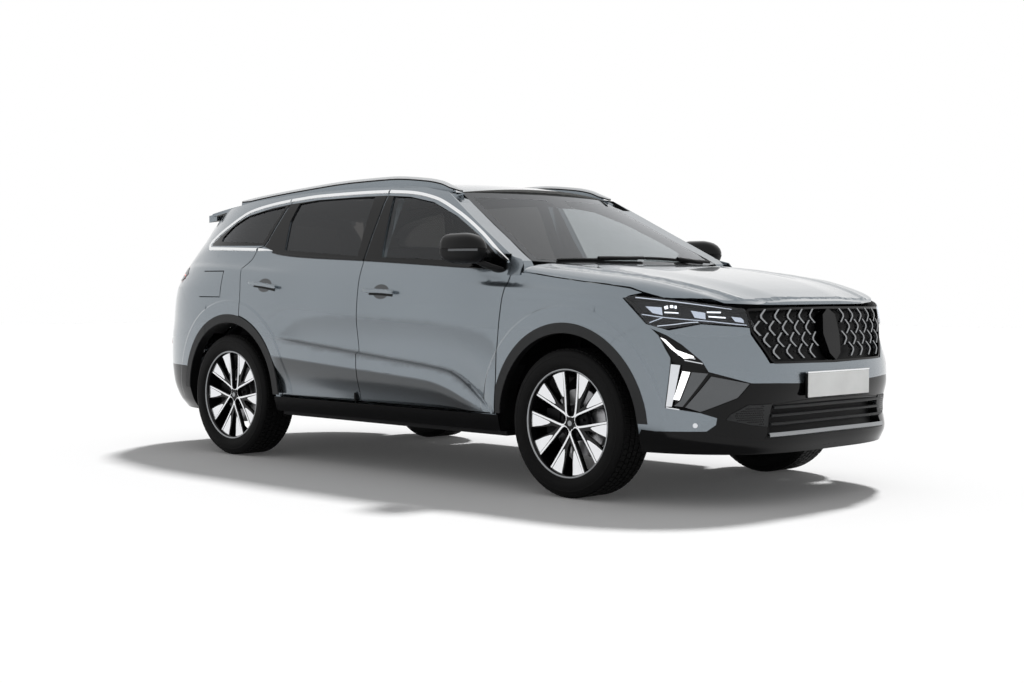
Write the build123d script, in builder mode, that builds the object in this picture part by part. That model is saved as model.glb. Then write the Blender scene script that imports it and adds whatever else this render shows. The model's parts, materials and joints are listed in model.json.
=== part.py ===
"""A seven-seat SUV, full size, in millimetres.

+X points to the nose, +Y to the car's left, +Z up. The origin is on the ground, midway along and across.
The body is lofted from one table of rows: at each height it gives the half width and how far the nose and tail reach.
"""

import os
from math import cos, hypot, pi, sin

from build123d import *

# ---- driving dimensions ------------------------------------------------------------------------------------------
LENGTH = 4722
WHEELBASE = 2738
FRONT_OVERHANG = 940
TRACK = 1575
TYRE_R = 360
TYRE_W = 235
RIM_R = 265
ARCH_R = 435  # radius of the wheel openings
CLADDING_W = 50  # width of the cladding ring round each opening
CLADDING_PROUD = 8

FRONT_X = LENGTH / 2 - FRONT_OVERHANG
REAR_X = FRONT_X - WHEELBASE
WHEEL_Y = TRACK / 2
ARCH_SHIFT = -8  # the front openings are centred a little behind the wheel

GAP = 6  # shut line between a moving panel and its neighbours
PANEL_GAP = 0.8  # shut line between two fixed panels
SEAT_GAP = 0.3  # clearance between glued or screwed pieces
DOOR_T = 80  # thickness of a door below the belt
FRAME_T = 42  # thickness of a door's window frame
POCKET = 12  # free depth behind a closed door
WALL_T = 134  # full thickness of the body side below the belt
CANT_T = 104  # full thickness of the body side beside the windows
BELT_Z = 1130
GLASS_T = 5
GLASS_SET = 7  # how far the panes sit inside the skin
FENDER_T = 36
END_T = 55  # thickness of the bumpers and the tailgate
ROOF_T = 20
HOOD_T = 28

# height, half width, nose x and tail x at the centreline
ROWS = [
    (250, 845, 2330, -2225),
    (310, 880, 2345, -2275),
    (420, 900, 2318, -2335),
    (560, 902, 2345, -2361),
    (680, 904, 2333, -2355),
    (800, 905, 2305, -2325),
    (910, 901, 2285, -2312),
    (985, 894, 2222, -2295),
    (1060, 880, 2140, -2268),
    (BELT_Z, 857, 2080, -2240),
    (1250, 806, 2080, -2180),
    (1400, 735, 2080, -2085),
    (1500, 682, 2080, -2010),
    (1575, 630, 2080, -1950),
]
NOSE_CENTRE, NOSE_POWER = 1400, 3.2
TAIL_POWER = 3.4

# heights of the body side's top edge: windscreen edge, cant rail and rear pillar
TOP_EDGE = [(1300, 1010), (1095, 1040), (1070, 1118), (1051, 1145), (705, 1330), (359, 1520), (180, 1548), (-300, 1572), (-900, 1560),
            (-1400, 1528), (-1750, 1488), (-2050, 1440)]
ROOF_CENTRE = [(400, 1548), (150, 1588), (-300, 1606), (-900, 1593), (-1400, 1560), (-1950, 1500)]
HOOD_CENTRE = [(1130, 1140), (1320, 1126), (1520, 1104), (1720, 1078), (1900, 1048), (2050, 1012), (2190, 966), (2262, 942)]
HOOD_SHUT = [(1130, 1090), (1320, 1066), (1520, 1044), (1660, 1031), (1787, 1014), (1870, 990), (1951, 968), (2100, 948),
             (2222, 935)]

# shut lines and windows as x, z on the skin
DOOR_FRONT = [(940, 385), (950, 560), (958, 730), (983, 960), (1022, 1095), (1012, 1132)]
A_PILLAR = [(953, 1166), (729, 1299), (504, 1408), (279, 1491), (68, 1529)]
B_SHUT = [(-128, 1541), (-128, 1400), (-128, 1250), (-127, 1130), (-126, 985), (-126, 800), (-126, 560), (-126, 385)]
REAR_DOOR_TOP = [(-440, 1543), (-741, 1538), (-975, 1519)]
REAR_DOOR_BACK = [(-1008, 1470), (-1050, 1340), (-1070, 1275), (-1088, 1246), (-1139, 1236), (-1175, 1170), (-1238, 1116), (-1215, 1000), (-1205, 900), (-1205, 385)]
DOOR_LOW_Z = 385
FRONT_WINDOW = [(10, 1172), (905, 1140), (730, 1272), (500, 1383), (275, 1466), (70, 1502), (-75, 1510)]
REAR_WINDOW = [(-875, 1222), (-195, 1180), (-235, 1513), (-440, 1516), (-741, 1512), (-905, 1497), (-925, 1390)]
QUARTER_WINDOW = [(-1112, 1268), (-1585, 1285), (-1590, 1310), (-1493, 1396), (-1405, 1431), (-1217, 1465), (-1030, 1487)]

SWEEP_TAPER = 0.32  # slope of a door's rear faces in plan, so that they swing clear


def table(points, x):
    """The value at x on the straight lines between points, which may run either way."""
    points = sorted(points)
    if x <= points[0][0]:
        return points[0][1]
    for (x0, v0), (x1, v1) in zip(points, points[1:]):
        if x <= x1:
            return v0 + (v1 - v0) * (x - x0) / (x1 - x0)
    return points[-1][1]


def row_at(z):
    """Half width, nose x and tail x at height z."""
    return [table([(r[0], r[k]) for r in ROWS], z) for k in (1, 2, 3)]


def tail_centre(z):
    return table([(1000, -1300), (1300, -900)], z)


def half_width(x, z):
    """Half the width of the body's skin at x, z."""
    width, nose, tail = row_at(z)
    ahead = max(0.0, (x - NOSE_CENTRE) / (nose - NOSE_CENTRE))
    behind = max(0.0, (x - tail_centre(z)) / (tail - tail_centre(z)))
    return width * (1 - min(ahead, 1) ** NOSE_POWER) ** (1 / NOSE_POWER) * (1 - min(behind, 1) ** TAIL_POWER) ** (
        1 / TAIL_POWER
    )


# ---- shaping helpers ---------------------------------------------------------------------------------------------
def side_slab(outer, lower_depth, upper_depth, x_from=-1640, x_to=1640):
    """The left body side from `outer` outside the skin to the given depths inside it."""
    stations = [x_from + (x_to - x_from) * k / 9 for k in range(10)]
    with BuildPart() as slab:
        for x in stations:
            skin = [(half_width(x, r[0]), r[0]) for r in ROWS]
            depth = [lower_depth if r[0] < BELT_Z else upper_depth for r in ROWS]
            out = [(y + outer, z) for y, z in skin]
            inn = [(y - d, z) for (y, z), d in zip(skin, depth)]
            with BuildSketch(Plane.YZ.offset(x)):
                with BuildLine():
                    Spline(*out)
                    Line(out[-1], inn[-1])
                    Spline(*reversed(inn))
                    Line(inn[0], out[0])
                make_face()
        loft()
    return slab.part


def end_slab(front, outer, depth, rows):
    """The nose or tail of the body as a curved wall, lofted upwards from plan sections."""
    steps = 9
    with BuildPart() as slab:
        for z, width, nose, tail in rows:
            centre, tip, power = (NOSE_CENTRE, nose, NOSE_POWER) if front else (tail_centre(z), tail, TAIL_POWER)
            start = 1560 if front else -1560

            def curve(grow):
                reach = tip - centre + (grow if front else -grow)
                first = ((start - centre) / reach) ** power
                points = []
                for k in range(2 * steps + 1):
                    t = (k - steps) / steps
                    turn = (1 - abs(t) ** 1.5) * pi / 2
                    across = (width + grow) * (1 - first) ** (1 / power)
                    y = cos(turn) ** (2 / power) * across
                    along = (1 - (y / (width + grow)) ** power) ** (1 / power)
                    points.append((centre + reach * along, y if t > 0 else -y))
                return points

            out, inn = curve(outer), curve(-depth)
            with BuildSketch(Plane.XY.offset(z)):
                with BuildLine():
                    Spline(*out)
                    Line(out[-1], inn[-1])
                    Spline(*reversed(inn))
                    Line(inn[0], out[0])
                make_face()
        loft()
    return slab.part


def side_prism(outline, y_from=1010, y_to=440):
    """A prism across the body side. Each outline point is x, z and the slope of its edge in plan."""
    with BuildPart() as prism:
        for y in (y_from, y_to):
            with BuildSketch(Plane.XZ.offset(-y)):
                with BuildLine():
                    Polyline(*[(x + slope * (half_width(x, z) - y), z) for x, z, slope in outline], close=True)
                make_face()
        loft(ruled=True)
    return prism.part


def plain(points):
    return [(x, z, 0) for x, z in points]


def y_cylinder(x, z, radius, y_from, y_to):
    """A cylinder along Y."""
    with BuildPart() as tool:
        with BuildSketch(Plane.XZ.offset(-y_from)):
            with Locations((x, z)):
                Circle(radius)
        extrude(amount=-(y_to - y_from))
    return tool.part


def block(x0, x1, y0, y1, z0, z1):
    """A box between two corners."""
    with BuildPart() as tool:
        with BuildSketch(Plane.XY.offset(z0)):
            with Locations(((x0 + x1) / 2, (y0 + y1) / 2)):
                Rectangle(x1 - x0, y1 - y0)
        extrude(amount=z1 - z0)
    return tool.part


def xz_prism(points, y0, y1):
    """A polygon in X, Z pushed from y0 to y1."""
    with BuildPart() as tool:
        with BuildSketch(Plane.XZ.offset(-y0)):
            with BuildLine():
                Polyline(*points, close=True)
            make_face()
        extrude(amount=-(y1 - y0))
    return tool.part


def both_sides(piece):
    """The piece and its mirror image."""
    return Compound(children=[*piece.solids(), *mirror(piece, about=Plane.XZ).solids()])


def save(shape, name):
    solids = [s for s in shape.solids() if s.volume > 500]
    piece = solids[0] if len(solids) == 1 else Compound(children=solids)
    piece.label = name
    export_step(piece, f"parts/{name}.step")
    print(f"{name}: {len(solids)} solids, {sum(s.volume for s in solids) / 1e6:.2f} litres")


os.makedirs("parts", exist_ok=True)

# ---- doors and what they swing in --------------------------------------------------------------------------------
HINGE_IN = 22  # how far the door hinges sit inside the widest skin
HINGE_Y = 904 - HINGE_IN
FRONT_HINGE_X = 915
REAR_HINGE_X = -165
SIDE_TOP = 1320  # the leading edge swings on its hinge up to this height

front_window = side_prism(plain(FRONT_WINDOW))
rear_window = side_prism(plain(REAR_WINDOW))
quarter_window = side_prism(plain(QUARTER_WINDOW))


def leading_edge(points, hinge_x, grow, inner=False):
    """What a door's front edge sweeps: circles round the hinge axis through its corner on the skin or inside it."""
    with BuildPart() as sweep:
        for x, z in points:
            depth = (DOOR_T if z < BELT_Z else FRAME_T) if inner else 0
            reach = hypot(x + SWEEP_TAPER * depth - hinge_x, half_width(x, z) - depth - HINGE_Y)
            with BuildSketch(Plane.XY.offset(z)):
                with Locations((hinge_x, HINGE_Y)):
                    Circle(reach + grow)
        loft(ruled=True)
    return sweep.part


def grown(points, grow):
    """A closed outline of x, z, slope, listed anticlockwise, moved outwards by `grow`."""
    moved = []
    for k, (x, z, slope) in enumerate(points):
        normals = []
        for (x0, z0, _), (x1, z1, _) in ((points[k - 1], (x, z, 0)), ((x, z, 0), points[(k + 1) % len(points)])):
            size = ((x1 - x0) ** 2 + (z1 - z0) ** 2) ** 0.5
            normals.append(((z1 - z0) / size, (x0 - x1) / size))
        nx, nz = normals[0][0] + normals[1][0], normals[0][1] + normals[1][1]
        scale = 2 * grow / (nx * nx + nz * nz)
        moved.append((x + nx * scale, z + nz * scale, slope))
    return moved


def tapered(points):
    return [(x, z, SWEEP_TAPER) for x, z in points]


front_door_outline = plain(DOOR_FRONT + A_PILLAR) + tapered(B_SHUT)
rear_door_outline = (
    tapered([(x - GAP, z) for x, z in reversed(B_SHUT)])
    + plain(REAR_DOOR_TOP[:-1])
    + tapered(REAR_DOOR_TOP[-1:] + REAR_DOOR_BACK)
)
front_edge = [(940, DOOR_LOW_Z - GAP)] + DOOR_FRONT[1:] + [(1005, 1150), (985, 1180)]
rear_edge = [(B_SHUT[-1][0] - GAP, z) for z in (DOOR_LOW_Z - GAP, 900, 1000, 1060, 1130, 1180)]
front_sweep, front_sweep_clear = (leading_edge(front_edge, FRONT_HINGE_X, g) for g in (0, GAP))
rear_sweep, rear_sweep_clear = (leading_edge(rear_edge, REAR_HINGE_X, g) for g in (0, GAP))
heel_edge = [(B_SHUT[-1][0] - GAP, z) for z in (DOOR_LOW_Z - GAP, 900, 1060, BELT_Z - 1, 1180, 1250, SIDE_TOP)]
rear_heel_clear = leading_edge(heel_edge, REAR_HINGE_X, GAP, inner=True)

skin = side_slab(0, DOOR_T, FRAME_T)
pocket = side_slab(20, DOOR_T + POCKET, FRAME_T + POCKET)
whole_side = side_slab(0, WALL_T, CANT_T)
rear_arch_outside = y_cylinder(REAR_X, TYRE_R, ARCH_R + CLADDING_W + GAP, 440, 1010)

front_door_prism = side_prism(front_door_outline)
rear_door_prism = side_prism(rear_door_outline)
front_door = (skin & front_door_prism) - front_window
front_door -= block(FRONT_HINGE_X, 1100, 700, 1000, 300, 1180) - front_sweep
rear_door = (skin & rear_door_prism) - rear_window - rear_arch_outside
rear_door -= block(REAR_HINGE_X, 0, 700, 1000, 300, 1180) - rear_sweep

front_door_space = side_prism(grown(front_door_outline, GAP))
rear_door_space = side_prism(grown(rear_door_outline, GAP))
# the opening behind each door is smaller all round, so that the door shuts on a flange
FLANGE = 38
front_opening = side_prism([(x, z, 0) for x, z, _ in grown(front_door_outline, -FLANGE)], y_to=300)
rear_opening = side_prism([(x, z, 0) for x, z, _ in grown(rear_door_outline, -FLANGE)], y_to=300)
rear_opening -= y_cylinder(REAR_X, TYRE_R, ARCH_R + CLADDING_W + 2 * FLANGE, 290, 1020)
rear_arch_edge = y_cylinder(REAR_X, TYRE_R, ARCH_R + CLADDING_W, 440, 1010)
door_spaces = (pocket & front_door_space) + (pocket & (rear_door_space - rear_arch_edge))
door_spaces += front_sweep_clear + rear_sweep_clear + rear_heel_clear

# ---- body sides --------------------------------------------------------------------------------------------------
TAILGATE = [(0, 738), (560, 738), (625, 790), (690, 900), (702, 1000), (695, 1130), (650, 1250), (600, 1400),
            (570, 1462), (0, 1600)]  # half outline of the tailgate as y, z
BUMPER_TOP = [(-1600, 700), (-1688, 808), (-1783, 892), (-1902, 999), (-2100, 1010), (-2500, 1010)]
GATE_FRONT = -1903  # front edge of the tailgate at the roof
ROOF_BACK = GATE_FRONT + 12
GATE_HINGE = (-1840, 1478)
WELL_IN = 640  # inner face of the rear wheel wells


def tailgate_prism(grow):
    """The tailgate's outline seen from behind, pushed along X."""
    half = [(y + (grow if y else 0), z - (grow if z == 738 else 0)) for y, z in TAILGATE]
    with BuildPart() as prism:
        with BuildSketch(Plane.YZ.offset(-2500)):
            with BuildLine():
                Polyline(*half, *[(-y, z) for y, z in reversed(half[1:-1])], close=True)
            make_face()
        extrude(amount=1100)
    return prism.part


TAIL_T = 60
tail_skin = end_slab(False, 0, TAIL_T, ROWS)
tail_side = tail_skin & block(-2500, -1560, 300, 1010, 260, 1560)
roof_cut = xz_prism(sorted(TOP_EDGE) + [(1300, 1800), (-2050, 1800)], 300, 1010)

body_side = whole_side & block(-1560, 1300, 400, 1010, 290, 1600)
body_side += tail_side
body_side -= xz_prism(BUMPER_TOP + [(-2500, 200), (-1600, 200)], 0, 1010)
body_side -= roof_cut
body_side -= door_spaces
body_side -= front_opening + rear_opening
body_side -= quarter_window
body_side -= tailgate_prism(GAP)
body_side -= y_cylinder(REAR_X, TYRE_R, ARCH_R, 400, 1010)
body_side -= y_cylinder(FRONT_X + ARCH_SHIFT, TYRE_R, ARCH_R + 30, 400, 1010)
body_side -= block(1030, 1400, 400, 1010, 250, 1000)
body_side -= side_slab(20, FENDER_T + SEAT_GAP, FENDER_T + SEAT_GAP) & block(905, 1400, 400, 1010, DOOR_LOW_Z - SEAT_GAP, 1140)
body_side -= block(-2500, ROOF_BACK + 1, 300, 1010, 1440, 1600)

# ---- front fenders, hood and front bumper ------------------------------------------------------------------------
HOOD_NOSE = 958  # height of the hood's front lip
LAMP_ANGLE = 47  # the lamps are cut out looking this far round from the nose
HEADLAMP = [(1758, 878, 965), (1886, 863, 847), (1990, 825, 819), (2110, 742, 848), (2257, 505, 828), (2224, 557, 915),
            (1990, 760, 950), (1818, 863, 978)]
BUMPER_SHUT = [(1600, 650), (1726, 773), (1850, 838), (1872, 855), (1780, 940), (1780, 975), (1900, 1000)]
GRILLE = [(0, 660), (470, 668), (545, 800), (556, 914), (300, 924), (0, 926)]  # half outline as y, z
INTAKE = [(0, 335), (480, 335), (440, 455), (0, 455)]
ARCH_X = FRONT_X + ARCH_SHIFT

front_skin = end_slab(True, 0, FENDER_T, ROWS[:9])
bumper_skin = end_slab(True, 0, END_T, ROWS[:9])


def round_prism(points, front, grow=0.0):
    """A prism through a corner of the body, its outline given as x, y, z on the skin."""
    turn = LAMP_ANGLE if front else 180 - LAMP_ANGLE
    plane = Plane(origin=(0, 0, 0), x_dir=(-sin(turn * pi / 180), cos(turn * pi / 180), 0),
                  z_dir=(cos(turn * pi / 180), sin(turn * pi / 180), 0))
    flat = [plane.to_local_coords(Vector(*p)) for p in points]
    turns = sum(a.X * b.Y - b.X * a.Y for a, b in zip(flat, flat[1:] + flat[:1]))
    flat = flat if turns > 0 else flat[::-1]
    edge = [(x, y) for x, y, _ in grown([(p.X, p.Y, 0) for p in flat], grow)] if grow else [(p.X, p.Y) for p in flat]
    with BuildPart() as prism:
        with BuildSketch(plane.offset(900)):
            with BuildLine():
                Polyline(*edge, close=True)
            make_face()
        extrude(amount=2200)
    return prism.part


def cross_prism(half, x0, x1):
    """A prism along X from the left half of its outline as y, z."""
    right = [(-y, z) for y, z in reversed(half) if y > 0]
    with BuildPart() as prism:
        with BuildSketch(Plane.YZ.offset(x0)):
            with BuildLine():
                Polyline(*half, *right, close=True)
            make_face()
        extrude(amount=x1 - x0)
    return prism.part


def hood_slab(top, thickness, x_from, x_to):
    """The bonnet as a loft of cross sections, flat in the middle and falling to its side shut lines."""
    with BuildPart() as slab:
        for k in range(10):
            x = x_from + (x_to - x_from) * k / 9
            middle, side = table(HOOD_CENTRE, x) + top, table(HOOD_SHUT, x) + top
            reach = half_width(x, side)
            drop = middle - side
            curve = [(0, 0), (0.35, 0.01), (0.6, 0.06), (0.8, 0.16), (0.92, 0.4), (0.98, 0.75), (1, 1)]
            left = [(f * reach, middle - d * drop) for f, d in curve]
            full = [(-y, z) for y, z in reversed(left[1:])] + left
            under = [(y * (1 - 16 / reach), z - thickness) for y, z in full]
            with BuildSketch(Plane.YZ.offset(x)):
                with BuildLine():
                    Spline(*full)
                    Line(full[-1], under[-1])
                    Spline(*reversed(under))
                    Line(under[0], full[0])
                make_face()
        loft()
    return slab.part


def nose_prism(z_row, grow, z0, z1):
    """Everything behind the nose's plan curve at one height."""
    width, tip, _ = row_at(z_row)
    points = []
    for k in range(33):
        turn = (k / 16 - 1) * pi / 2
        across = (width + grow) * (1 if turn > 0 else -1) * abs(sin(turn)) ** (2 / NOSE_POWER)
        points.append((NOSE_CENTRE + (tip + grow - NOSE_CENTRE) * max(cos(turn), 0) ** (2 / NOSE_POWER), across))
    with BuildPart() as prism:
        with BuildSketch(Plane.XY.offset(z0)):
            with BuildLine():
                Polyline(*points, (900, width + grow), (900, -width - grow), close=True)
            make_face()
        extrude(amount=z1 - z0)
    return prism.part


above_hood_shut = [(x, z) for x, z in HOOD_SHUT]
hood_region = xz_prism([(900, 1090)] + above_hood_shut + [(2400, 935), (2400, 1400), (900, 1400)], 0, 1010)
headlamp_prism = round_prism(HEADLAMP, True)
headlamp_clear = round_prism(HEADLAMP, True, PANEL_GAP)
bumper_region = xz_prism(BUMPER_SHUT + [(2500, 1000), (2500, 200), (1600, 200)], 0, 1010)
bumper_clear = xz_prism([(x - PANEL_GAP / 2, z + PANEL_GAP / 2) for x, z in BUMPER_SHUT] + [(2500, 1001), (2500, 200), (1598, 200)],
                        0, 1010)

fender = side_slab(0, FENDER_T, FENDER_T) & block(940, 1600, 700, 1010, 385, 1135)
fender += front_skin & block(1600, 2400, 300, 1010, 385, 1060)
fender -= xz_prism([(x, z - GAP) for x, z in [(900, 1090)] + above_hood_shut] + [(2400, 929), (2400, 1400), (900, 1400)],
                   0, 1010)
fender -= front_door_space
fender -= front_sweep_clear
fender -= y_cylinder(ARCH_X, TYRE_R, ARCH_R, 400, 1010)
fender -= bumper_clear + headlamp_clear
fender = max(fender.solids(), key=lambda s: s.volume)

front_bumper = bumper_skin & block(1600, 2400, -1010, 1010, 250, 1000)
front_bumper &= bumper_region + mirror(bumper_region, about=Plane.XZ)
front_bumper -= cross_prism([(y + (PANEL_GAP if y else 0), z - (PANEL_GAP if z < 700 else 0)) for y, z in GRILLE], 1900, 2500)
front_bumper -= block(1900, 2500, -1010, 1010, 929, 1100)
front_bumper -= cross_prism([(y + (PANEL_GAP if y else 0), z + (PANEL_GAP if z > 400 else -PANEL_GAP)) for y, z in INTAKE], 1900, 2500)
front_bumper -= headlamp_clear + mirror(headlamp_clear, about=Plane.XZ)
front_bumper -= y_cylinder(ARCH_X, TYRE_R, ARCH_R, -1010, 1010)
front_bumper = max(front_bumper.solids(), key=lambda s: s.volume)

hood = hood_slab(0, HOOD_T, 1090, 2238) & nose_prism(962, -1, 700, 1300)
hood &= hood_region + mirror(hood_region, about=Plane.XZ)
headlamp = end_slab(True, -2, 70, ROWS[:9]) & headlamp_prism & block(1500, 2500, 0, 1010, 700, 1000)
headlamp -= cross_prism([(y + (PANEL_GAP if y else 0), z) for y, z in GRILLE], 1900, 2500)
headlamp -= xz_prism([(x, z - GAP) for x, z in HOOD_SHUT] + [(2400, 914), (2400, 1400), (1130, 1400)], 0, 1010)
grille = end_slab(True, -6, 40, ROWS[:9]) & cross_prism(GRILLE, 1900, 2500)
intake = end_slab(True, -14, 34, ROWS[:4]) & cross_prism(INTAKE, 1900, 2500)

# ---- windscreen, roof and tail -----------------------------------------------------------------------------------
SCREEN_LOW, SCREEN_HIGH = (1051, 748, 1145), (359, 574, 1520)  # corners of the windscreen
SCREEN_BULGE = 46
SCREEN_T = 5
SCREEN_LOW_BOW, SCREEN_HIGH_BOW = 139, 47  # how far the lower and upper edges bow forward at the middle
HOOD_BACK, HOOD_BACK_BOW = 1228, 118
HOOD_HINGE = (1105, 1093)
ROOF_EDGE = 12  # how far the roof's edge is inside the skin

screen_mid = Vector((SCREEN_LOW[0] + SCREEN_HIGH[0]) / 2, 0, (SCREEN_LOW[2] + SCREEN_HIGH[2]) / 2)
screen_up = Vector(SCREEN_HIGH[0] - SCREEN_LOW[0], 0, SCREEN_HIGH[2] - SCREEN_LOW[2])
SCREEN_HALF = screen_up.length / 2
screen_out = Vector(screen_up.Z, 0, -screen_up.X).normalized()
screen_plane = Plane(origin=screen_mid, x_dir=(0, 1, 0), z_dir=screen_out)


def screen_slab(outer, inner):
    """The windscreen's curved sheet, from sections across the car that are square to the glass."""
    up = screen_up.normalized()
    with BuildPart() as slab:
        for k in range(6):
            s = -SCREEN_HALF - SCREEN_LOW_BOW - 20 + k * (2 * SCREEN_HALF + SCREEN_LOW_BOW + 40) / 5
            share = (s + SCREEN_HALF) / (2 * SCREEN_HALF)
            half = SCREEN_LOW[1] + (SCREEN_HIGH[1] - SCREEN_LOW[1]) * share
            section = Plane(origin=screen_mid + up * s, x_dir=(0, 1, 0), z_dir=up * -1)
            low, high = [
                [(y * half * 1.06, SCREEN_BULGE * (1 - (y * 1.06) ** 2) + grow) for y in (-1, -0.5, 0, 0.5, 1)]
                for grow in (inner, outer)
            ]
            with BuildSketch(section):
                with BuildLine():
                    Spline(*high)
                    Line(high[-1], low[-1])
                    Spline(*reversed(low))
                    Line(low[0], high[0])
                make_face()
        loft()
    return slab.part


def screen_prism(grow, depth):
    """The windscreen's outline pushed square to the glass."""
    low, high = (SCREEN_LOW[1] + grow, -SCREEN_HALF - grow), (SCREEN_HIGH[1] + grow, SCREEN_HALF + grow)
    with BuildPart() as prism:
        with BuildSketch(screen_plane.offset(-depth)):
            with BuildLine():
                ThreePointArc((-low[0], low[1]), (0, low[1] - SCREEN_LOW_BOW), low)
                Line(low, high)
                ThreePointArc(high, (0, high[1] - SCREEN_HIGH_BOW), (-high[0], high[1]))
                Line((-high[0], high[1]), (-low[0], low[1]))
            make_face()
        extrude(amount=2 * depth)
    return prism.part


def roof_slab(top, under, x_from, x_to, edge_in, lift=3):
    """The roof as a loft of cross sections from its front edge to its rear edge."""
    with BuildPart() as slab:
        for k in range(8):
            x = x_from + (x_to - x_from) * k / 7
            side = table(TOP_EDGE, x)
            reach = half_width(min(max(x, -1700), 1300), side) - edge_in
            middle, low = table(ROOF_CENTRE, x) + top, side + lift + top
            drop = middle - low
            left = [(f * reach, middle - d * drop) for f, d in [(0, 0), (0.3, 0.06), (0.6, 0.3), (0.85, 0.68), (1, 1)]]
            full = [(-y, z) for y, z in reversed(left[1:])] + left
            floor = [(y, z - under - top) for y, z in full]
            with BuildSketch(Plane.YZ.offset(x)):
                with BuildLine():
                    Spline(*full)
                    Line(full[-1], floor[-1])
                    Spline(*reversed(floor))
                    Line(floor[0], full[0])
                make_face()
        loft()
    return slab.part


windshield = screen_slab(0, -SCREEN_T) & screen_prism(0, 200)
screen_space = screen_slab(40, -SCREEN_T - SEAT_GAP) & screen_prism(SEAT_GAP, 200)
roof_panel = roof_slab(0, ROOF_T, 470, ROOF_BACK, ROOF_EDGE) - screen_prism(GAP / 2, 200) - screen_space
roof_space = roof_slab(60, ROOF_T + SEAT_GAP, 470, ROOF_BACK, ROOF_EDGE - SEAT_GAP) & block(ROOF_BACK - 3, 600, -1010, 1010, 1300, 1800)
body_side -= roof_space
body_side -= screen_space
back_row = [(y, max(HOOD_BACK - HOOD_BACK_BOW * (y / 800) ** 2, HOOD_HINGE[0] + 1)) for y in range(-900, 901, 50)]
with BuildPart() as hood_back:
    with BuildSketch(Plane.XY.offset(900)):
        with BuildLine():
            Polyline(*[(x, y) for y, x in back_row], (700, 900), (700, -900), close=True)
        make_face()
    extrude(amount=400)
hood -= hood_back.part

SPOILER_TIP = -2082
spoiler = roof_slab(0, 44, GATE_FRONT, SPOILER_TIP - 40, ROOF_EDGE)
with BuildPart() as spoiler_plan:
    with BuildSketch(Plane.XY.offset(1300)):
        with BuildLine():
            ThreePointArc((-1965, 640), (SPOILER_TIP, 0), (-1965, -640))
            Polyline((-1965, -640), (-1700, -640), (-1700, 640), (-1965, 640))
        make_face()
    extrude(amount=400)
spoiler &= spoiler_plan.part
REAR_WINDOW_HALF = [(0, 1135), (575, 1135), (545, 1290), (480, 1405), (0, 1425)]
gate_cut = tailgate_prism(0)
tailgate = tail_skin & gate_cut & block(-2500, GATE_FRONT, -1010, 1010, 700, 1500)
tailgate += spoiler & block(-2500, GATE_FRONT, -575, 575, 1300, 1600)
tailgate -= cross_prism(REAR_WINDOW_HALF, -2500, -1900)
GATE_SWING = 11  # more room beside its front edges, which rise into the narrower part of the opening
tailgate -= block(-2040, GATE_FRONT + 20, -1010, 1010, 1102, 1300) - tailgate_prism(-GATE_SWING)
tailgate_glass = end_slab(False, -GLASS_SET, GLASS_SET + GLASS_T, ROWS) & cross_prism(
    [(y - (SEAT_GAP if y else 0), z + (SEAT_GAP if z < 1300 else -SEAT_GAP)) for y, z in REAR_WINDOW_HALF], -2500, -1600)
GATE_LAMP = [(330, 1052), (720, 1040), (720, 1098), (400, 1078)]
TAIL_LAMP = [(-1878, 808, 1087), (-1951, 744, 1139), (-2135, 690, 1112), (-2150, 690, 1030), (-1952, 809, 1033)]


def yz_prism(points, x0, x1):
    """A polygon in Y, Z pushed from x0 to x1."""
    with BuildPart() as prism:
        with BuildSketch(Plane.YZ.offset(x0)):
            with BuildLine():
                Polyline(*points, close=True)
            make_face()
        extrude(amount=x1 - x0)
    return prism.part


gate_lamp_cut = yz_prism(GATE_LAMP, -2500, -1900)
gate_lamp = end_slab(False, 1, 18, ROWS[6:11]) & gate_lamp_cut & tailgate_prism(-1)
gate_lamp_room = end_slab(False, 30, 18 + PANEL_GAP, ROWS[6:11]) & yz_prism(
    [(y, z) for y, z, _ in grown(plain(GATE_LAMP), SEAT_GAP)], -2500, -1900)
tailgate -= gate_lamp_room
tailgate -= mirror(gate_lamp_room, about=Plane.XZ)
tail_lamp_cut = round_prism(TAIL_LAMP, False)
tail_lamp = (end_slab(False, 1, 40, ROWS[6:11]) & tail_lamp_cut & block(-2500, -1560, 300, 1010, 900, 1200))
tail_lamp -= tailgate_prism(GAP)
tail_lamp_room = end_slab(False, 30, 40 + SEAT_GAP, ROWS[6:11]) & round_prism(TAIL_LAMP, False, SEAT_GAP)
body_side -= tail_lamp_room
rear_bumper = end_slab(False, 0, END_T, ROWS[:9]) & block(-2500, -1600 - PANEL_GAP, -1010, 1010, 250, 1008)
rear_bumper -= xz_prism([(x, z - PANEL_GAP) for x, z in BUMPER_TOP[:-1]] + [(-2500, 1700), (-1400, 1700), (-1400, 700)], -1010, 1010)
rear_bumper -= tailgate_prism(GAP) + tail_lamp_room + mirror(tail_lamp_room, about=Plane.XZ)
rear_bumper -= y_cylinder(REAR_X, TYRE_R, ARCH_R, -1010, 1010)
rear_bumper = max(rear_bumper.solids(), key=lambda s: s.volume)

# ---- glass, trim, rails, mirrors ---------------------------------------------------------------------------------
pane = side_slab(-GLASS_SET, GLASS_SET + GLASS_T, GLASS_SET + GLASS_T)
front_glass = pane & side_prism(grown(plain(FRONT_WINDOW), -SEAT_GAP))
rear_glass = pane & side_prism(grown(plain(REAR_WINDOW), -SEAT_GAP))
quarter_glass = pane & side_prism(grown(plain(QUARTER_WINDOW[::-1]), -SEAT_GAP))

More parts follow.
